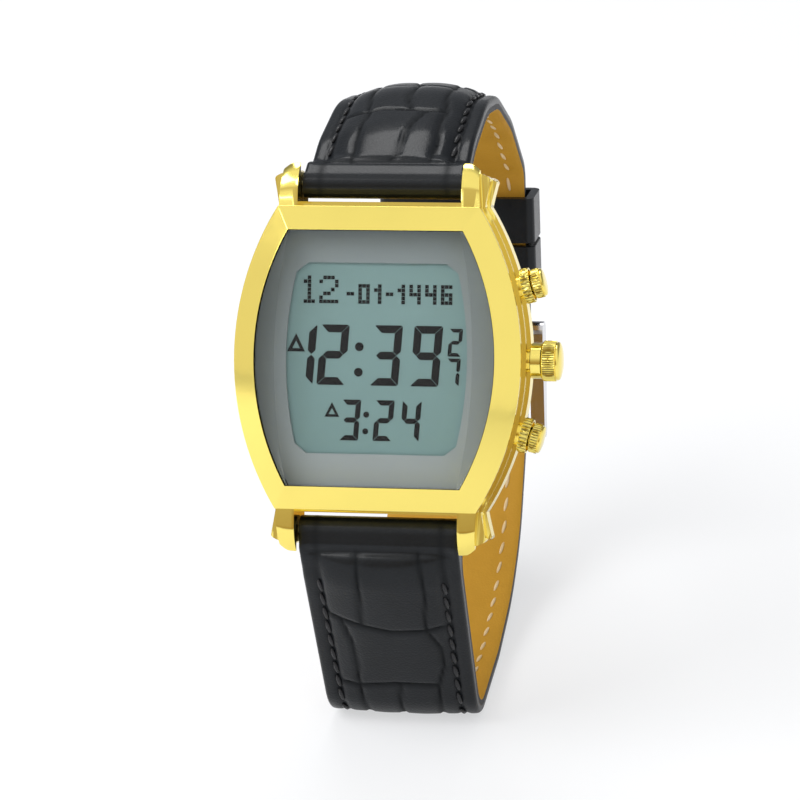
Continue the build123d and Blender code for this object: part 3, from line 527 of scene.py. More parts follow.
def cut_bar(bm, low, high, cuts):
    """A bar between two corners, its ends cut off along slanting lines."""
    middle = [(a + b) / 2 for a, b in zip(low, high)]
    size = [b - a for a, b in zip(low, high)]
    made = bmesh.ops.create_cube(bm, size=1.0, matrix=Matrix.Translation((*middle, 0.5))
                                 @ Matrix.Diagonal((*size, 1, 1)))
    bar = {f for v in made["verts"] for f in v.link_faces}
    for point, normal in cuts:
        verts = {v for f in bar for v in f.verts}
        edges = {e for f in bar for e in f.edges}
        cut = bmesh.ops.bisect_plane(bm, geom=[*verts, *edges, *bar], plane_co=(*point, 0),
                                     plane_no=(*normal, 0), clear_outer=True)
        rim = [e for e in cut["geom_cut"] if isinstance(e, bmesh.types.BMEdge)]
        bar = {f for f in cut["geom"] if isinstance(f, bmesh.types.BMFace) and f.is_valid}
        bar |= set(bmesh.ops.contextual_create(bm, geom=rim)["faces"])


def digit(bm, figure, centre, width, height, stroke):
    """A seven-segment figure."""
    w, h, t, g = width / 2, height / 2, stroke, 0.035 * stroke ** 0.5
    made_before = set(bm.verts)
    for letter in {"1": "BC", "2": "ABGED", "3": "ABGCD", "4": "FGBC", "7": "ABC",
                   "9": "AFGBCD"}[figure]:
        if letter in "AD":
            up = 1 if letter == "A" else -1
            cuts = [((way * (w - g), up * h), (way, -up)) for way in (-1, 1)]
            cuts += [((way * (w - corner_cut * t), up * h), (way, up)) for way in (-1, 1)]
            cut_bar(bm, (-w, min(up * h, up * (h - t))), (w, max(up * h, up * (h - t))), cuts)
        elif letter == "G":
            cuts = [((way * (w - t / 2 - g), 0), (way, turn))
                    for way in (-1, 1) for turn in (-1, 1)]
            cut_bar(bm, (-w, -t / 2), (w, t / 2), cuts)
        else:
            way, up = (1 if letter in "BC" else -1), (1 if letter in "BF" else -1)
            cuts = [((way * w, up * (h - g)), (-way, up))]
            cuts += [((way * (w - corner_cut * t), up * h), (way, up))]
            cuts += [((way * (w - t / 2), up * g), (turn, -up)) for turn in (-1, 1)]
            cut_bar(bm, (min(way * w, way * (w - t)), min(0, up * h)),
                    (max(way * w, way * (w - t)), max(0, up * h)), cuts)
    for v in set(bm.verts) - made_before:
        v.co.x += digit_slant * v.co.y + centre[0]
        v.co.y += centre[1]


def spot(bm, centre, size, corners=24, rim=0.0):
    """A round dot, or a figure with few corners that may be hollow inside a rim."""
    made = bmesh.ops.create_circle(bm, cap_ends=True, segments=corners, radius=1,
                                   matrix=Matrix.Translation((*centre, 0))
                                   @ Matrix.Diagonal((*size, 1, 1)))
    faces = list({f for v in made["verts"] for f in v.link_faces})
    if rim:
        ring = bmesh.ops.inset_region(bm, faces=faces, thickness=rim, use_boundary=True,
                                      use_even_offset=True)["faces"]
        bmesh.ops.delete(bm, geom=faces, context="FACES")
        faces = ring
    up = bmesh.ops.extrude_face_region(bm, geom=faces, use_keep_orig=True)["geom"]
    bmesh.ops.translate(bm, vec=(0, 0, 1),
                        verts=[v for v in up if isinstance(v, bmesh.types.BMVert)])


# %% [markdown]
# The figures are tables: what each says, where its middle is, and which of three sizes it has. The
# dots are squares on a fixed pitch, so the date is a pattern made of rows of marks.

# %% What the display says
large, medium, tiny = (3.55, 7.4, 0.95), (2.35, 5.0, 0.64), (1.65, 3.4, 0.45)  # width, height, bar
dot_pitch, dot_size, first_dot = 0.489, 0.44, (-9.22, 6.72)
figures_tall = {"1": (".X.", "XX.", ".X.", ".X.", ".X.", ".X.", "XXX"),
                "2": (".XXX.", "X...X", "....X", "...X.", ".XX..", "X....", "XXXXX")}
figures_small = {"-": ("..", "..", "XX", "..", ".."), "0": ("XXX", "X.X", "X.X", "X.X", "XXX"),
                 "1": (".X", "XX", ".X", ".X", ".X"), "4": ("X.X", "X.X", "XXX", "..X", "..X"),
                 "6": ("XXX", "X..", "XXX", "X.X", "XXX")}

bm = bmesh.new()
for figure, x in (("1", -9.48), ("2", -5.45), ("3", 1.2), ("9", 6.2)):
    digit(bm, figure, (x, 0.42), *large)
for figure, x, y in (("2", 9.75, 2.13), ("7", 9.52, -1.5)):
    digit(bm, figure, (x, y), *tiny)
for figure, x in (("3", -3.2), ("2", 0.97), ("4", 4.35)):
    digit(bm, figure, (x, -7.55), *medium)
for x, y, radius in ((-2.17, 1.45, 0.54), (-2.25, -1.67, 0.54),
                     (-1.2, -6.85, 0.37), (-1.3, -8.9, 0.37)):
    spot(bm, (x, y), (radius, radius))
spot(bm, (-10.1, 1.5), (1.3, 1.5), corners=3, rim=0.4)
spot(bm, (-5.5, -6.6), (1.08, 1.2), corners=3, rim=0.32)
column = 0
for text, figures, gap in (("12", figures_tall, 2), ("-01-1446", figures_small, 1)):
    for character in text:
        rows = figures[character]
        for up, row in enumerate(reversed(rows)):
            for over, mark in enumerate(row):
                if mark == "X":
                    middle = (first_dot[0] + dot_pitch * (column + over) + dot_size / 2,
                              first_dot[1] + dot_pitch * up + dot_size / 2, 0.5)
                    bmesh.ops.create_cube(bm, size=1.0, matrix=Matrix.Translation(middle)
                                          @ Matrix.Diagonal((dot_size, dot_size, 1, 1)))
        column += len(rows[0]) + 1
    column += gap - 1
bmesh.ops.recalc_face_normals(bm, faces=bm.faces)
to_panel = (dial @ Matrix.Translation((0, 0, panel_top))
            @ Matrix.Diagonal((1, 1, ink_thickness, 1)))
finished(bm, "display_figures", [ink], body=body_of("lcd_panel"), crease=10.0, matrix=to_panel)

# %% [markdown]
# ## Crown and pushers
#
# Turned parts are drawn as half a section and spun about their axis, like work in a lathe. The
# three axes meet in the middle of the flank's curve, and each points out against the direction in
# which its button is pressed. A knurl is cut after spinning: four steps to a tooth let the skin
# follow the ridges, and the depth of the cut is kept as the attribute that paints shade into the
# metal between the teeth. Each cap slides over or into its collar, so a pressed button still looks
# whole.

# %% Crown and pushers
flank_centre, flank_reach, button_height = -17.3, 35.8, -0.4


def turned(profile, teeth=0, band=(0, 0), depth=0.1, steps=96):
    """Spins a section of (radius, height) points; knurls the outer face between two heights."""
    bm = bmesh.new()
    points = [bm.verts.new((radius, 0, height)) for radius, height in profile]
    closed = profile[0][0] > 0
    ends = zip(points, points[1:] + points[:1]) if closed else zip(points, points[1:])
    edges = [bm.edges.new(pair) for pair in ends]
    steps = 4 * teeth or steps
    bmesh.ops.spin(bm, geom=points + edges, cent=(0, 0, 0), axis=(0, 0, 1), angle=2 * math.pi,
                   steps=steps, use_merge=True)
    bmesh.ops.remove_doubles(bm, verts=bm.verts, dist=0.0005)
    bmesh.ops.recalc_face_normals(bm, faces=bm.faces)
    widest = max(radius for radius, _ in profile)
    hollow = bm.verts.layers.float.new("hollow")
    for v in bm.verts:
        radius = math.hypot(v.co.x, v.co.y)
        if teeth and band[0] < v.co.z < band[1] and radius > widest - 0.02:
            cut = 0.5 - 0.5 * math.cos(teeth * math.atan2(v.co.y, v.co.x))
            v.co.xy *= (radius - depth * cut) / radius
            # The cut's depth becomes painted shade in the metal's grooves.
            v[hollow] = cut
    return bm


def button_axes(joint):
    """Millimetres from the flank plate outwards along a button's axis, to the frame."""
    row = next(j for j in frame["joints"] if j["name"] == joint)
    outward = -Vector(row["axis"])
    meeting = dial @ Vector((flank_centre, 0, button_height))
    turn = Matrix((-into, outward.cross(-into), outward)).transposed().to_4x4()
    return (Matrix.Translation(meeting + outward * flank_reach * MM) @ turn @ Matrix.Scale(MM, 4))


crown_collar = [(0.85, -4.2), (1.5, -4.2), (1.5, 0), (2.12, 0), (2.2, 0.08), (2.2, 1.28),
                (2.12, 1.37), (1.4, 1.37), (1.3, 1.3), (1.3, 0.75), (1.25, 0.75), (1.25, -1.15),
                (0.85, -1.15)]
crown_cap = [(0, 0.45), (1.2, 0.45), (1.2, 2.08), (2.27, 2.08), (2.27, 1.48), (2.36, 1.42),
             (2.44, 1.5), (2.5, 1.6), (2.5, 2.3), (2.5, 3.0), (2.44, 3.08), (2.32, 3.1),
             (2.3, 3.14), (2.36, 3.2), (2.36, 3.34), (2.28, 3.46), (2.0, 3.6), (1.5, 3.73),
             (0.9, 3.81), (0, 3.85)]
pusher_collar = [(0.85, -4.2), (1.5, -4.2), (1.5, 0), (2.12, 0), (2.2, 0.1), (2.2, 0.55),
                 (2.2, 1.0), (2.12, 1.1), (1.97, 1.1), (1.92, 1.05), (1.92, 0.6), (1.25, 0.6),
                 (1.25, -1.3), (0.85, -1.3)]
pusher_cap = [(0, 0.3), (1.2, 0.3), (1.2, 1.3), (1.7, 1.3), (1.8, 1.38), (1.84, 1.45), (1.84, 1.9),
              (1.84, 2.3), (1.78, 2.36), (1.68, 2.38), (1.66, 2.42), (1.7, 2.46), (1.68, 2.58),
              (1.55, 2.68), (1.2, 2.76), (0.7, 2.8), (0, 2.8)]
for button, collar, cap, cap_teeth, collar_teeth in (
        ("crown", crown_collar, crown_cap, 52, 0),
        ("upper_pusher", pusher_collar, pusher_cap, 32, 26),
        ("lower_pusher", pusher_collar, pusher_cap, 32, 26)):
    where = button_axes(button + "_press")
    finished(turned(collar, collar_teeth, (0.05, 1.05), 0.16), button + "_collar", [gold],
             [button + "_tube"], matrix=where, crease=40)
    heights = [height for radius, height in cap if radius == max(cap)[0]]
    finished(turned(cap, cap_teeth, (min(heights) - 0.01, max(heights) + 0.01), 0.13),
             button + "_knurled_cap", [gold], [button + "_cap"], matrix=where, crease=40)

# %% [markdown]
# ## The line of the strap
#
# Seen from the side, each half of the strap follows a few straight runs with rounded corners. The
# line drawn here is the inner face of the lining, from the spring bar at the lug to the end. Every
# layer is then a distance out from that line, so cover, lining and stitches stay together. A curve
# with free handles could do it too, but corners and radii are what the CAD strap is made from.

# %% The line of the strap
lining_depth, cover_depth = 0.9, 0.9
strap_depth = lining_depth + cover_depth
fold_depth = 3.6                            # of the end folded round a spring bar
fold_length = 2.4
bar_into, bar_up = -0.4, 21.4               # spring bar from the middle of the case
lug_half, tail_half, taper_length = 10.05, 9.2, 57.0    # half widths, and where the second is met
slope, bar_run = math.radians(41), 8.6      # of the upper half as it leaves its spring bar
crest = [(16.6, 30.6), (25.4, 31.85), (37.2, 29.5)]
back_top, back_bottom = np.array((49.3, 24.3)), np.array((55.1, 2.6))
layer_gap = 0.3                             # between the halves where the tail lies over
lower_drop = 1.8                            # straight run of the lower half under its fold
foot_front, foot_length = np.array((17.3, -44.8)), 16.0
rise_corner, rise_start = (43.0, -32.4), np.array((50.0, -24.8))
elbow_height, tail_length = -1.0, 20.8


def heading(start, finish):
    run = np.subtract(finish, start)
    return run / np.hypot(*run)


class Route:
    """A rounded line in the side view, with its length, directions and outward normals."""

    def __init__(self, corners, radii, hand, step=0.2):
        points = [np.array(corners[0])]
        for before, corner, after, radius in zip(corners, corners[1:], corners[2:], radii):
            arriving, leaving = heading(before, corner), heading(corner, after)
            turn = math.acos(np.clip(arriving @ leaving, -1, 1))
            setback = radius * math.tan(turn / 2)
            bend = math.copysign(1, arriving[0] * leaving[1] - arriving[1] * leaving[0])
            inward = bend * np.array((-arriving[1], arriving[0]))
            start = np.array(corner) - arriving * setback
            for angle in np.linspace(0, turn, 2 + int(turn * radius / step)):
                points.append(start + radius * (math.sin(angle) * arriving
                                                + (1 - math.cos(angle)) * inward))
        points.append(np.array(corners[-1]))
        points = np.array(points)
        lengths = np.concatenate(([0], np.cumsum(np.hypot(*np.diff(points, axis=0).T))))
        self.length = lengths[-1]
        self.along = np.arange(0, self.length, step)
        self.points = np.column_stack([np.interp(self.along, lengths, p) for p in points.T])
        runs = np.gradient(self.points, axis=0)
        self.runs = runs / np.hypot(*runs.T)[:, None]
        self.hand = hand

    def at(self, along):
        """Point, direction and outward normal at lengths along the line."""
        inside = np.clip(along, 0, self.along[-1])
        point = np.column_stack([np.interp(inside, self.along, p) for p in self.points.T])
        run = np.column_stack([np.interp(inside, self.along, r) for r in self.runs.T])
        run /= np.hypot(*run.T)[:, None]
        point += run * (np.asarray(along) - inside)[:, None]
        return point, run, self.hand * np.column_stack((-run[:, 1], run[:, 0]))

    def nearest(self, place):
        """Length along the line at the sample nearest to a place."""
        return self.along[np.argmin(np.hypot(*(self.points - place).T))]


tilt = np.array((math.cos(slope), math.sin(slope)))
upper_bar = np.array((bar_into, bar_up)) - np.array((-tilt[1], tilt[0])) * fold_depth / 2
back_run = heading(back_top, back_bottom)
back_out = np.array((-back_run[1], back_run[0]))
tail_in = back_bottom + back_out * (strap_depth + layer_gap)
elbow = tail_in - back_run * ((elbow_height - tail_in[1]) / -back_run[1])
tail_end = tail_in - back_run * tail_length
foot_back = foot_front + foot_length * np.array((math.cos(lean), math.sin(lean)))

upper = Route([upper_bar, upper_bar + bar_run * tilt, *crest, back_top, back_bottom],
              [12, 16, 12, 16, 2.5], 1)
lower_in = bar_into + fold_depth / 2
lower_start = [(lower_in, -bar_up), (lower_in, -bar_up - fold_length - lower_drop),
               foot_front, foot_back]
lower = Route([*lower_start, rise_corner, rise_start, elbow, tail_end], [3, 4.5, 14, 30, 20, 8], -1)
print("strap halves are", round(upper.length, 1), "and", round(lower.length, 1), "mm long")


def half_width(place):
    """Half the strap's width at places in the side view."""
    return lug_half - (lug_half - tail_half) * np.clip(place[:, 0], 0, None) / taper_length


# %% [markdown]
# ## Scales, grooves and padding
#
# The cover is a sheet of leather pulled over a padded core and sewn down along both edges. Its
# height is a sum of simple shapes: the crowned core, the valley where the stitches pull it down,
# the rounded welt outside them, the crease beside the folded end, and the grooves between the
# pressed scales. A groove is a short bent line; the further a point is from the nearest one, the
# less it sinks. The first scales of each half are placed one by one, as on a real die, and the rows
# behind them follow a rule with a little chance.

# %% Scales and grooves
def ramp(value, start, finish):
    """Smooth step from 0 to 1."""
    share = np.clip((value - start) / (finish - start), 0, 1)
    return share * share * (3 - 2 * share)


def groove_share(along, across, lines, width):
    """1 in the bottom of a groove and 0 on top of a scale."""
    nearest = np.full(along.shape, 9.0)
    for line in lines:
        for (a0, c0), (a1, c1) in zip(line, line[1:]):
            da, dc = a1 - a0, c1 - c0
            share = np.clip(((along - a0) * da + (across - c0) * dc) / (da * da + dc * dc), 0, 1)
            gap = np.hypot(along - a0 - share * da, across - c0 - share * dc)
            nearest = np.minimum(nearest, gap)
    return np.exp(-(nearest / width) ** 2), 1 - np.exp(-nearest / 1.6)


scale_pitch, column_side, scale_edge = 7.6, 4.9, 7.4


def scale_rows(first, last, seed):
    """Groove lines of two middle columns of scales and the small ones beside them."""
    chance = np.random.default_rng(seed)
    lines = []
    rows = np.arange(first, last, scale_pitch)
    rows = rows + chance.uniform(-0.7, 0.7, len(rows))
    for low, high in zip(rows, np.append(rows[1:], last)):
        bow, lean_over = chance.uniform(-0.5, 0.5), chance.uniform(-0.8, 0.8)
        left, right_side = (way * column_side + chance.uniform(-0.4, 0.4) for way in (-1, 1))
        lines.append([(low, left), (low + bow, 0.0), (low + 0.4 * lean_over, right_side)])
        middle = chance.uniform(-0.8, 0.8)
        lines.append([(low, middle + lean_over), (0.6 * low + 0.4 * high, middle),
                      (high, middle - 0.5 * lean_over)])
        lines.append([(low, left), (0.5 * (low + high), left - 0.3), (high, left)])
        lines.append([(low, right_side), (0.5 * (low + high), right_side + 0.3),
                      (high, right_side)])
        for way, edge in ((-1, left), (1, right_side)):
            shift = chance.uniform(0.25, 0.6) * (high - low)
            lines.append([(low + shift, edge),
                          (low + shift + 0.6 * chance.uniform(-1, 1), way * scale_edge)])
    return lines


# %% [markdown]
# ## One half of the strap
#
# The class keeps what belongs to one half: its line, its padding and its grooves. It answers two
# questions. How high does the leather stand at a place along and across the strap? And where is
# that place in the side view? Before the spring bar the strap turns round the bar instead of going
# on.

# %% One half of the strap
stitch_inset, stitch_pitch = 2.15, 2.45
edge_radius = 0.45                          # of the folded edges
core_overlap, crown_side, crown_top = 0.35, 2.6, 0.75   # core past the stitches, and its roundness
padding_fade = (-3.0, 1.0)                  # where the core thins out, beside its last corner
valley_width, valley_depth, hole_depth = 0.45, 0.16, 0.10   # along the stitches and at each hole
welt_height = 0.16
groove_width, groove_depth, scale_height = 0.27, 0.26, 0.12
fold_fade = (-0.5, 2.2)                     # from the folded end to the padded strap
crease_depth, crease_width = 0.55, 0.42


class Half:
    """One half of the strap: its line, its padding and its groove lines."""

    def __init__(self, name, route, corners, rises, lines):
        self.name, self.route, self.rises, self.lines = name, route, rises, lines
        self.padding_ends = [route.nearest(np.array(c)) for c in corners]

    def height(self, along, across, half):
        """Height of the leather above the inner face of the lining, and its groove share."""
        edge = half - np.abs(across)
        rise = np.interp(along, self.padding_ends, self.rises)
        rise = rise * (1 - ramp(along, *(self.padding_ends[-1] + fade for fade in padding_fade)))
        core = half - stitch_inset + core_overlap
        crown = np.clip(1 - (np.abs(across) / core) ** crown_side, 0, None) ** crown_top
        stitch_line = np.exp(-((edge - stitch_inset) / valley_width) ** 2)
        dip = 0.5 + 0.5 * np.cos(2 * math.pi * along / stitch_pitch)
        welt = welt_height * np.sin(math.pi * np.clip(edge / stitch_inset, 0, 1))
        groove, pillow = groove_share(along, across, self.lines, groove_width)
        inside = ramp(edge, stitch_inset - 0.2, stitch_inset + 1.2)
        leather_top = (strap_depth + rise * crown + welt
                       - (valley_depth + hole_depth * dip) * stitch_line
                       + inside * (scale_height * pillow - groove_depth * groove))
        fold = 1 - ramp(along, *(fold_length + fade for fade in fold_fade))
        crease = (crease_depth * np.exp(-((along - fold_length - 0.1) / crease_width) ** 2)
                  * ramp(edge, 0.0, 1.5))
        top = (1 - fold) * leather_top + fold * fold_depth - crease
        rounding = np.clip(edge_radius - edge, 0, edge_radius)
        top = top - edge_radius + np.sqrt(np.clip(edge_radius**2 - rounding**2, 0, None))
        return top, np.clip(groove * inside + 0.6 * stitch_line, 0, 1)

    def place(self, along, across, depth, roll):
        """Points on the strap, the stretch before the bar rolled round it by a share of a turn."""
        point, run, normal = self.route.at(np.maximum(along, 0))
        flat = point + normal * depth[:, None]
        bar = point + normal * fold_depth / 2
        angle = np.clip(-along, 0, 1) * math.pi / 2
        arm = (normal * (roll * np.cos(angle))[:, None] - run * np.sin(angle)[:, None])
        rolled = bar + arm * fold_depth / 2
        place = np.where((along < 0)[:, None], rolled, flat)
        return np.column_stack((place, across))


# %% [markdown]
# ## Slabs and holes
#
# Cover and lining both start as a flat closed slab, with its rows and columns where the shape needs
# them. Holes are cut while the slab is still flat, with a Boolean modifier, because a Boolean on
# the finished bent leather would be slow and could leave cracks. The depth of a slab runs from 0 to
# 1, which later says how far each point lies between the inner and the outer face.

# %% Slabs and holes
def slab(start, finish, half, rows, columns, crowd):
    """Flat closed slab of leather in millimetres: x across, y along, z from 0 to 1."""
    bm = bmesh.new()
    bmesh.ops.create_grid(bm, x_segments=columns, y_segments=rows, size=1.0)
    lifted = bmesh.ops.extrude_face_region(bm, geom=bm.faces[:], use_keep_orig=True)
    top = [v for v in lifted["geom"] if isinstance(v, bmesh.types.BMVert)]
    bmesh.ops.translate(bm, vec=(0, 0, 1), verts=top)
    bmesh.ops.recalc_face_normals(bm, faces=bm.faces)
    for v in bm.verts:
        v.co.y = start + (finish - start) * (v.co.y + 1) / 2
        v.co.x = half(v.co.y) * ((1 + crowd) * v.co.x - crowd * v.co.x**3)
    return bm


def punched(bm, slots_cut):
    """The slab with rounded slots cut through it, each given by its place, length and width."""
    if not slots_cut:
        return bm
    slab_mesh, slot_mesh = bpy.data.meshes.new("slab"), bpy.data.meshes.new("slots")
    bm.to_mesh(slab_mesh)
    bm.free()
    cutter = bmesh.new()
    for place, length, width in slots_cut:
        ring = bmesh.ops.create_circle(cutter, cap_ends=True, segments=32, radius=width / 2)
        for v in ring["verts"]:
            v.co.y += place + math.copysign((length - width) / 2, v.co.y)
            v.co.z = -1
    raised = bmesh.ops.extrude_face_region(cutter, geom=cutter.faces[:], use_keep_orig=True)
    bmesh.ops.translate(cutter, vec=(0, 0, 3),
                        verts=[v for v in raised["geom"] if isinstance(v, bmesh.types.BMVert)])
    bmesh.ops.recalc_face_normals(cutter, faces=cutter.faces)
    cutter.to_mesh(slot_mesh)
    cutter.free()
    body = bpy.data.objects.new("slab", slab_mesh)
    slots_body = bpy.data.objects.new("slots", slot_mesh)
    for thing in (body, slots_body):
        bpy.context.scene.collection.objects.link(thing)
    cut = body.modifiers.new("slots", "BOOLEAN")
    cut.operation, cut.solver, cut.object = "DIFFERENCE", "EXACT", slots_body
    cut_mesh = body.evaluated_get(bpy.context.evaluated_depsgraph_get()).to_mesh()
    result = bmesh.new()
    result.from_mesh(cut_mesh)
    for thing in (body, slots_body):
        bpy.data.objects.remove(thing)
    return result


# %% [markdown]
# ## Cover, lining and thread
#
# The cover goes round the folded end and lies on the lining behind it. The lining's rim is painted
# black, as an edge is on a good strap. The lower half runs the other way round the wrist, which
# turns its slabs inside out, so the faces are made to point outwards once they are in place. A
# stitch is a slim bead laid on the leather, a little turned, one for each side at each step: a few
# faces are enough for hundreds of them.

# %% Cover, lining and thread
rim_width = 0.01                            # faces this near the side are rim
sewn_depth, sewn_width = 0.10, 0.5          # of the lining's valley under its stitches
eased_depth, eased_width = 0.18, 0.5        # of its rounded edge
stitch_turn = 0.16


def coordinates_of(bm):
    return np.array([v.co for v in bm.verts]).T


def moved(bm, places):
    for v, place in zip(bm.verts, places):
        v.co = place


def half_at(route, tail_rounding=0.0):
    """Function that gives half the strap's width at a length along its line."""
    widths = half_width(route.points)

    def half(along):
        width = float(np.interp(along, route.along, widths))
        short = np.clip(1 - (route.length - along) / max(tail_rounding, 1e-6), 0, 1)
        return width * math.sqrt(1 - 0.86 * short**2.2)
    return half


def cover_piece(half_strap, start, finish, half, holes, stands_for, turned_back):
    """The black embossed cover, closed all round."""
    rows = int((finish - start) / 0.33)
    bm = punched(slab(start, finish, half, rows, 64, 0.5), holes)
    across, along, share = coordinates_of(bm)
    halves = np.array([half(a) for a in along])
    top, groove = half_strap.height(along, across, halves)
    under = lining_depth * ramp(along, fold_length - 0.3, fold_length + 0.1)
    under = under * (1 - ramp(along, turned_back - 0.1, turned_back + 0.3))
    depth = under + share * (top - under)
    moved(bm, half_strap.place(along, across, depth, 2 * share - 1))
    # Groove depth on the outer face, which the leather paints as shade.
    deep = bm.verts.layers.float.new("hollow")
    for v, value in zip(bm.verts, groove * share):
        v[deep] = value
    bmesh.ops.remove_doubles(bm, verts=bm.verts, dist=0.001)
    bmesh.ops.recalc_face_normals(bm, faces=bm.faces)
    piece = finished(bm, half_strap.name + "_strap_leather", [black_leather], stands_for,
                     matrix=side, crease=60)
    return piece


def lining_piece(half_strap, start, finish, half, holes, stands_for):
    """The tan lining, its rim painted black."""
    bm = punched(slab(start, finish, half, int(finish - start), 24, 0.4), holes)
    across, along, share = coordinates_of(bm)
    halves = np.array([half(a) for a in along])
    for face in bm.faces:
        rim = all(abs(v.co.x) > half(v.co.y) - rim_width for v in face.verts)
        face.material_index = int(rim)
    edge = halves - np.abs(across)
    sewn = sewn_depth * np.exp(-((edge - stitch_inset) / sewn_width) ** 2) * (1 - share)
    eased = eased_depth * np.clip(1 - edge / eased_width, 0, 1) ** 2 * (1 - share)
    depth = share * lining_depth + sewn + eased
    moved(bm, half_strap.place(along, across, depth, 2 * share - 1))
    bmesh.ops.recalc_face_normals(bm, faces=bm.faces)
    return finished(bm, half_strap.name + "_strap_lining_calf", [tan_leather, edge_paint],
                    stands_for, matrix=side, crease=50)


def thread_piece(half_strap, name, finish, start, last, half, height, pitch, length, radius, rides):
    """A row of stitches along each edge, each one a slim bead lying on the leather."""
    bm = bmesh.new()
    places = np.arange(math.ceil(start / pitch) + 0.5, last / pitch) * pitch
    points, runs, normals = half_strap.route.at(places)
    for place, point, run, normal in zip(places, points, runs, normals):
        for way in (-1, 1):
            x = way * (half(place) - stitch_inset)
            lift = height(place, x, half(place))
            z_axis = Vector((*run, stitch_turn))
            z_axis.normalize()
            y_axis = Vector((normal[0], normal[1], 0))
            turn = Matrix((y_axis.cross(z_axis), y_axis, z_axis)).transposed().to_4x4()
            middle = Vector((*(point + normal * lift), x))
            size = Matrix.Diagonal((radius, radius, length / 2, 1))
            bmesh.ops.create_uvsphere(bm, u_segments=6, v_segments=6, radius=1,
                                      matrix=Matrix.Translation(middle) @ turn @ size)
    bmesh.ops.recalc_face_normals(bm, faces=bm.faces)
    piece = finished(bm, name, [finish], body="watch", matrix=side, crease=80)
    return piece


# %% [markdown]
# ## Both halves
#
# A groove line is a list of places (along, across) in millimetres. The upper half ends round the
# buckle's bar, where the cover is slotted for the tongue. The lower half ends in a rounded tail
# with five holes, one of them on the tongue.

# %% Both halves
upper_lines = [
    [(2.6, -4.4), (6.5, -4.7), (10.3, -4.4), (13.3, -4.0)],
    [(13.1, -7.0), (13.2, -4.0), (13.7, -2.6), (13.5, 0.0), (13.4, 3.1), (13.9, 5.6)],
    [(13.4, 3.1), (12.2, 2.8), (8.5, 1.6), (5.8, 1.2), (4.0, 1.2), (3.0, 0.6)],
    [(3.0, 5.4), (7.0, 5.8), (10.5, 5.2), (13.9, 5.6)],
] + scale_rows(22.5, 74.0, 7) + [[(13.9, -4.4), (18.0, -4.8), (22.5, -4.9)],
                                 [(13.9, 1.0), (17.0, 0.2), (22.5, 0.6)],
                                 [(13.9, 5.6), (18.0, 4.9), (22.5, 5.0)]]
lower_lines = [
    [(2.6, -2.6), (7.0, -2.9), (11.8, -3.1)],
    [(10.6, -7.4), (11.1, -6.0), (12.2, -2.7), (13.0, 0.4), (12.9, 4.9), (12.4, 7.2)],
    [(2.6, 5.0), (6.0, 5.5), (9.5, 5.1), (12.9, 4.9)],
    [(11.2, -5.8), (15.7, -4.8), (20.0, -4.7), (23.0, -5.0)],
    [(12.9, 4.9), (16.1, 6.3), (19.5, 6.4), (23.0, 5.4)],
    [(23.0, -7.2), (23.4, -5.0), (22.8, 0.0), (23.0, 5.4)],
] + scale_rows(33.0, 112.0, 11) + [[(23.0, -5.0), (28.0, -4.6), (33.0, -4.9)],
                                   [(22.8, 0.4), (27.0, 0.0), (33.0, -0.5)],
                                   [(23.0, 5.4), (28.0, 5.0), (33.0, 4.9)]]
upper_half = Half("upper", upper, [upper_bar, upper_bar + bar_run * tilt, *crest],
                  [1.8, 1.8, 1.8, 1.7, 0.4], upper_lines)
lower_half = Half("lower", lower, lower_start, [1.8, 1.8, 0.35, 0.35], lower_lines)

hole_length, hole_width, hole_pitch = 3.4, 2.2, 6.0
tongue_hole = lower.nearest(elbow + heading(elbow, rise_start) * 2.4025)
hole_places = [(tongue_hole + hole_pitch * count, hole_length, hole_width)
               for count in (-2, -1, 0, 1, 2)]
print("holes along the tail:", [round(h[0], 1) for h in hole_places])
tongue_slot = [(upper.length, 4.8, 2.6)]
cover_stitch = (stitch_pitch, 2.1, 0.33)    # pitch, length and thickness
lining_stitch = (3.3, 2.1, 0.25)

for half_strap, holes, lined_holes, turned_back, tail_round in (
        (upper_half, tongue_slot, [], upper.length - fold_length, 0.0),
        (lower_half, hole_places, hole_places, lower.length + 1, 6.0)):
    route, name = half_strap.route, half_strap.name
    half = half_at(route, tail_round)
    finish_at = route.length - 0.01
    cover_piece(half_strap, -1.0, finish_at, half, holes,
                [name + "_strap_cover", name + "_strap_padding"], turned_back)
    lining_piece(half_strap, fold_length, min(finish_at, turned_back), half, lined_holes,
                 [name + "_strap_lining"])
    sewn_to = finish_at - max(tail_round, 3.0)

    def on_cover(place, across, width):
        top, _ = half_strap.height(np.array([place]), np.array([across]), np.array([width]))
        return top[0] + 0.10

    thread_piece(half_strap, name + "_cover_stitches", black_thread, fold_length + 1.5, sewn_to,
                 half, on_cover, *cover_stitch, "black_leather")
    thread_piece(half_strap, name + "_lining_stitches", beige_thread, fold_length + 1.0, sewn_to,
                 half, lambda *_: 0.08, *lining_stitch, "tan_leather")

# %% [markdown]
# ## Roll round the buckle's bar
#
# The upper half's cover is turned back round the buckle's bar, with a gap in the middle for the
# tongue. The tight roll is left and right a short tube with soft ends, which is quicker to turn
# than to bend, and the leather of the strap runs into it.

# %% Roll round the buckle's bar
buckle_bar = (55.293, 2.652)                # in the side view
bar_hole, roll_radius, roll_start = 0.8, 1.6, 1.35
for name, way in (("left", -1), ("right", 1)):
    section = [(bar_hole, roll_start), (1.45, roll_start), (roll_radius, 1.5),
               (roll_radius, tail_half - 0.3), (1.5, tail_half - 0.08), (1.3, tail_half),
               (bar_hole, tail_half)]
    bm = turned([(radius, way * height) for radius, height in section], steps=40)
    bmesh.ops.translate(bm, vec=(*buckle_bar, 0), verts=bm.verts)
    finished(bm, f"upper_strap_{name}_roll", [black_leather], body="watch", matrix=side)

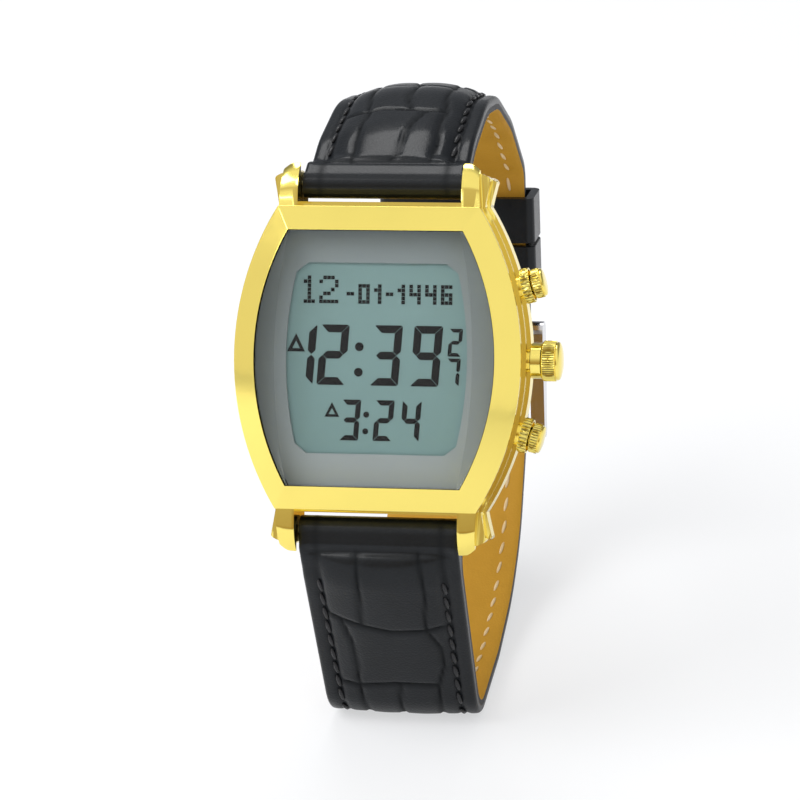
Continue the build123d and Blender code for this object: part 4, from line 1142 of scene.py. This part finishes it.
# %% [markdown]
# ## Light and stage
#
# Gold looks like what it mirrors, so the room matters more than the lamps. The world answers each
# kind of ray in its own way: plain white for the eye and for what is seen through glass, a soft
# grey for lighting, and for mirror rays a bright room with a warm dark patch where the watch faces
# and a grey wall behind it. That keeps the crystal clear, the gold deep and the leather black. A
# pale floor that glows a little keeps a soft shadow without a visible edge.

# %% Light and stage
def lamp(name, azimuth, elevation, distance, size, power, mirrored):
    """Soft box round the watch, azimuth 0 in front and 90 on the right."""
    turn, rise = math.radians(azimuth), math.radians(elevation)
    way = Vector((math.sin(turn) * math.cos(rise), -math.cos(turn) * math.cos(rise),
                  math.sin(rise)))
    data = bpy.data.lights.new(name, "AREA")
    data.shape, data.size, data.energy = "SQUARE", size, power
    box = bpy.data.objects.new(name, data)
    bpy.context.scene.collection.objects.link(box)
    box.visible_glossy = mirrored
    box.location = case_middle + way * distance
    box.rotation_mode = "QUATERNION"
    box.rotation_quaternion = way.to_track_quat("Z", "Y")


lamp("key light", -62, 45, 0.8, 0.6, 5.0, True)
lamp("fill light", 50, 25, 0.9, 0.9, 1.4, False)
lamp("top light", -165, 62, 0.8, 0.35, 2.0, True)

world = bpy.data.worlds.new("studio")
world.use_nodes = True
bpy.context.scene.world = world
sky = Nodes(world.node_tree)
by_eye, by_mirror, by_glass = (
    sky.node("LightPath", output=f"Is {ray} Ray") for ray in ("Camera", "Glossy", "Transmission"))
leftward, backward = (
    sky.node("SeparateXYZ", {}, {0: sky.node("TexCoord", output="Generated")}, axis)
    for axis in "XY")
open_sky = sky.between(backward, -0.98, -0.75) * sky.between(leftward, -0.95, -0.6, 0.8, 1.0)
mirrored = sky.mix(open_sky, colour(0.42, 0.31, 0.18), colour(1, 1, 1))
mirrored = sky.mix(sky.between(backward, 0.0, 0.45), mirrored, colour(0.30, 0.31, 0.33))
lit = sky.mix(by_mirror, colour(0.55, 0.55, 0.55), mirrored)
white = sky.mix(sky.node("Math", {"operation": "ADD", "use_clamp": True}, {0: by_eye, 1: by_glass}),
                lit, colour(1, 1, 1))
sky.fill(world.node_tree.nodes["Background"], {"Color": white, "Strength": 1.0})

bm = bmesh.new()
bmesh.ops.create_grid(bm, x_segments=1, y_segments=1, size=3.0)
floor_mesh = bpy.data.meshes.new("floor")
bm.to_mesh(floor_mesh)
bm.free()
floor = bpy.data.objects.new("floor", floor_mesh)
bpy.context.scene.collection.objects.link(floor)
floor.location.z = -0.0001
paper = Finish("pale floor", Roughness=0.5, Base_Color=colour(0.86, 0.87, 0.89))
lit = paper.node("BsdfDiffuse", {}, {"Color": colour(0.88, 0.89, 0.91)})
white = paper.node("Emission", {}, {"Color": colour(0.97, 0.975, 0.985), "Strength": 1.0})
glow = (0.6 * paper.node("LightPath", output="Is Camera Ray")
        + 0.3 * paper.node("LightPath", output="Is Glossy Ray"))
paper.outcome(paper.node("MixShader", {}, {0: glow, 1: lit, 2: white}))
floor.data.materials.append(paper.material)
bpy.context.scene.view_settings.view_transform = "Standard"
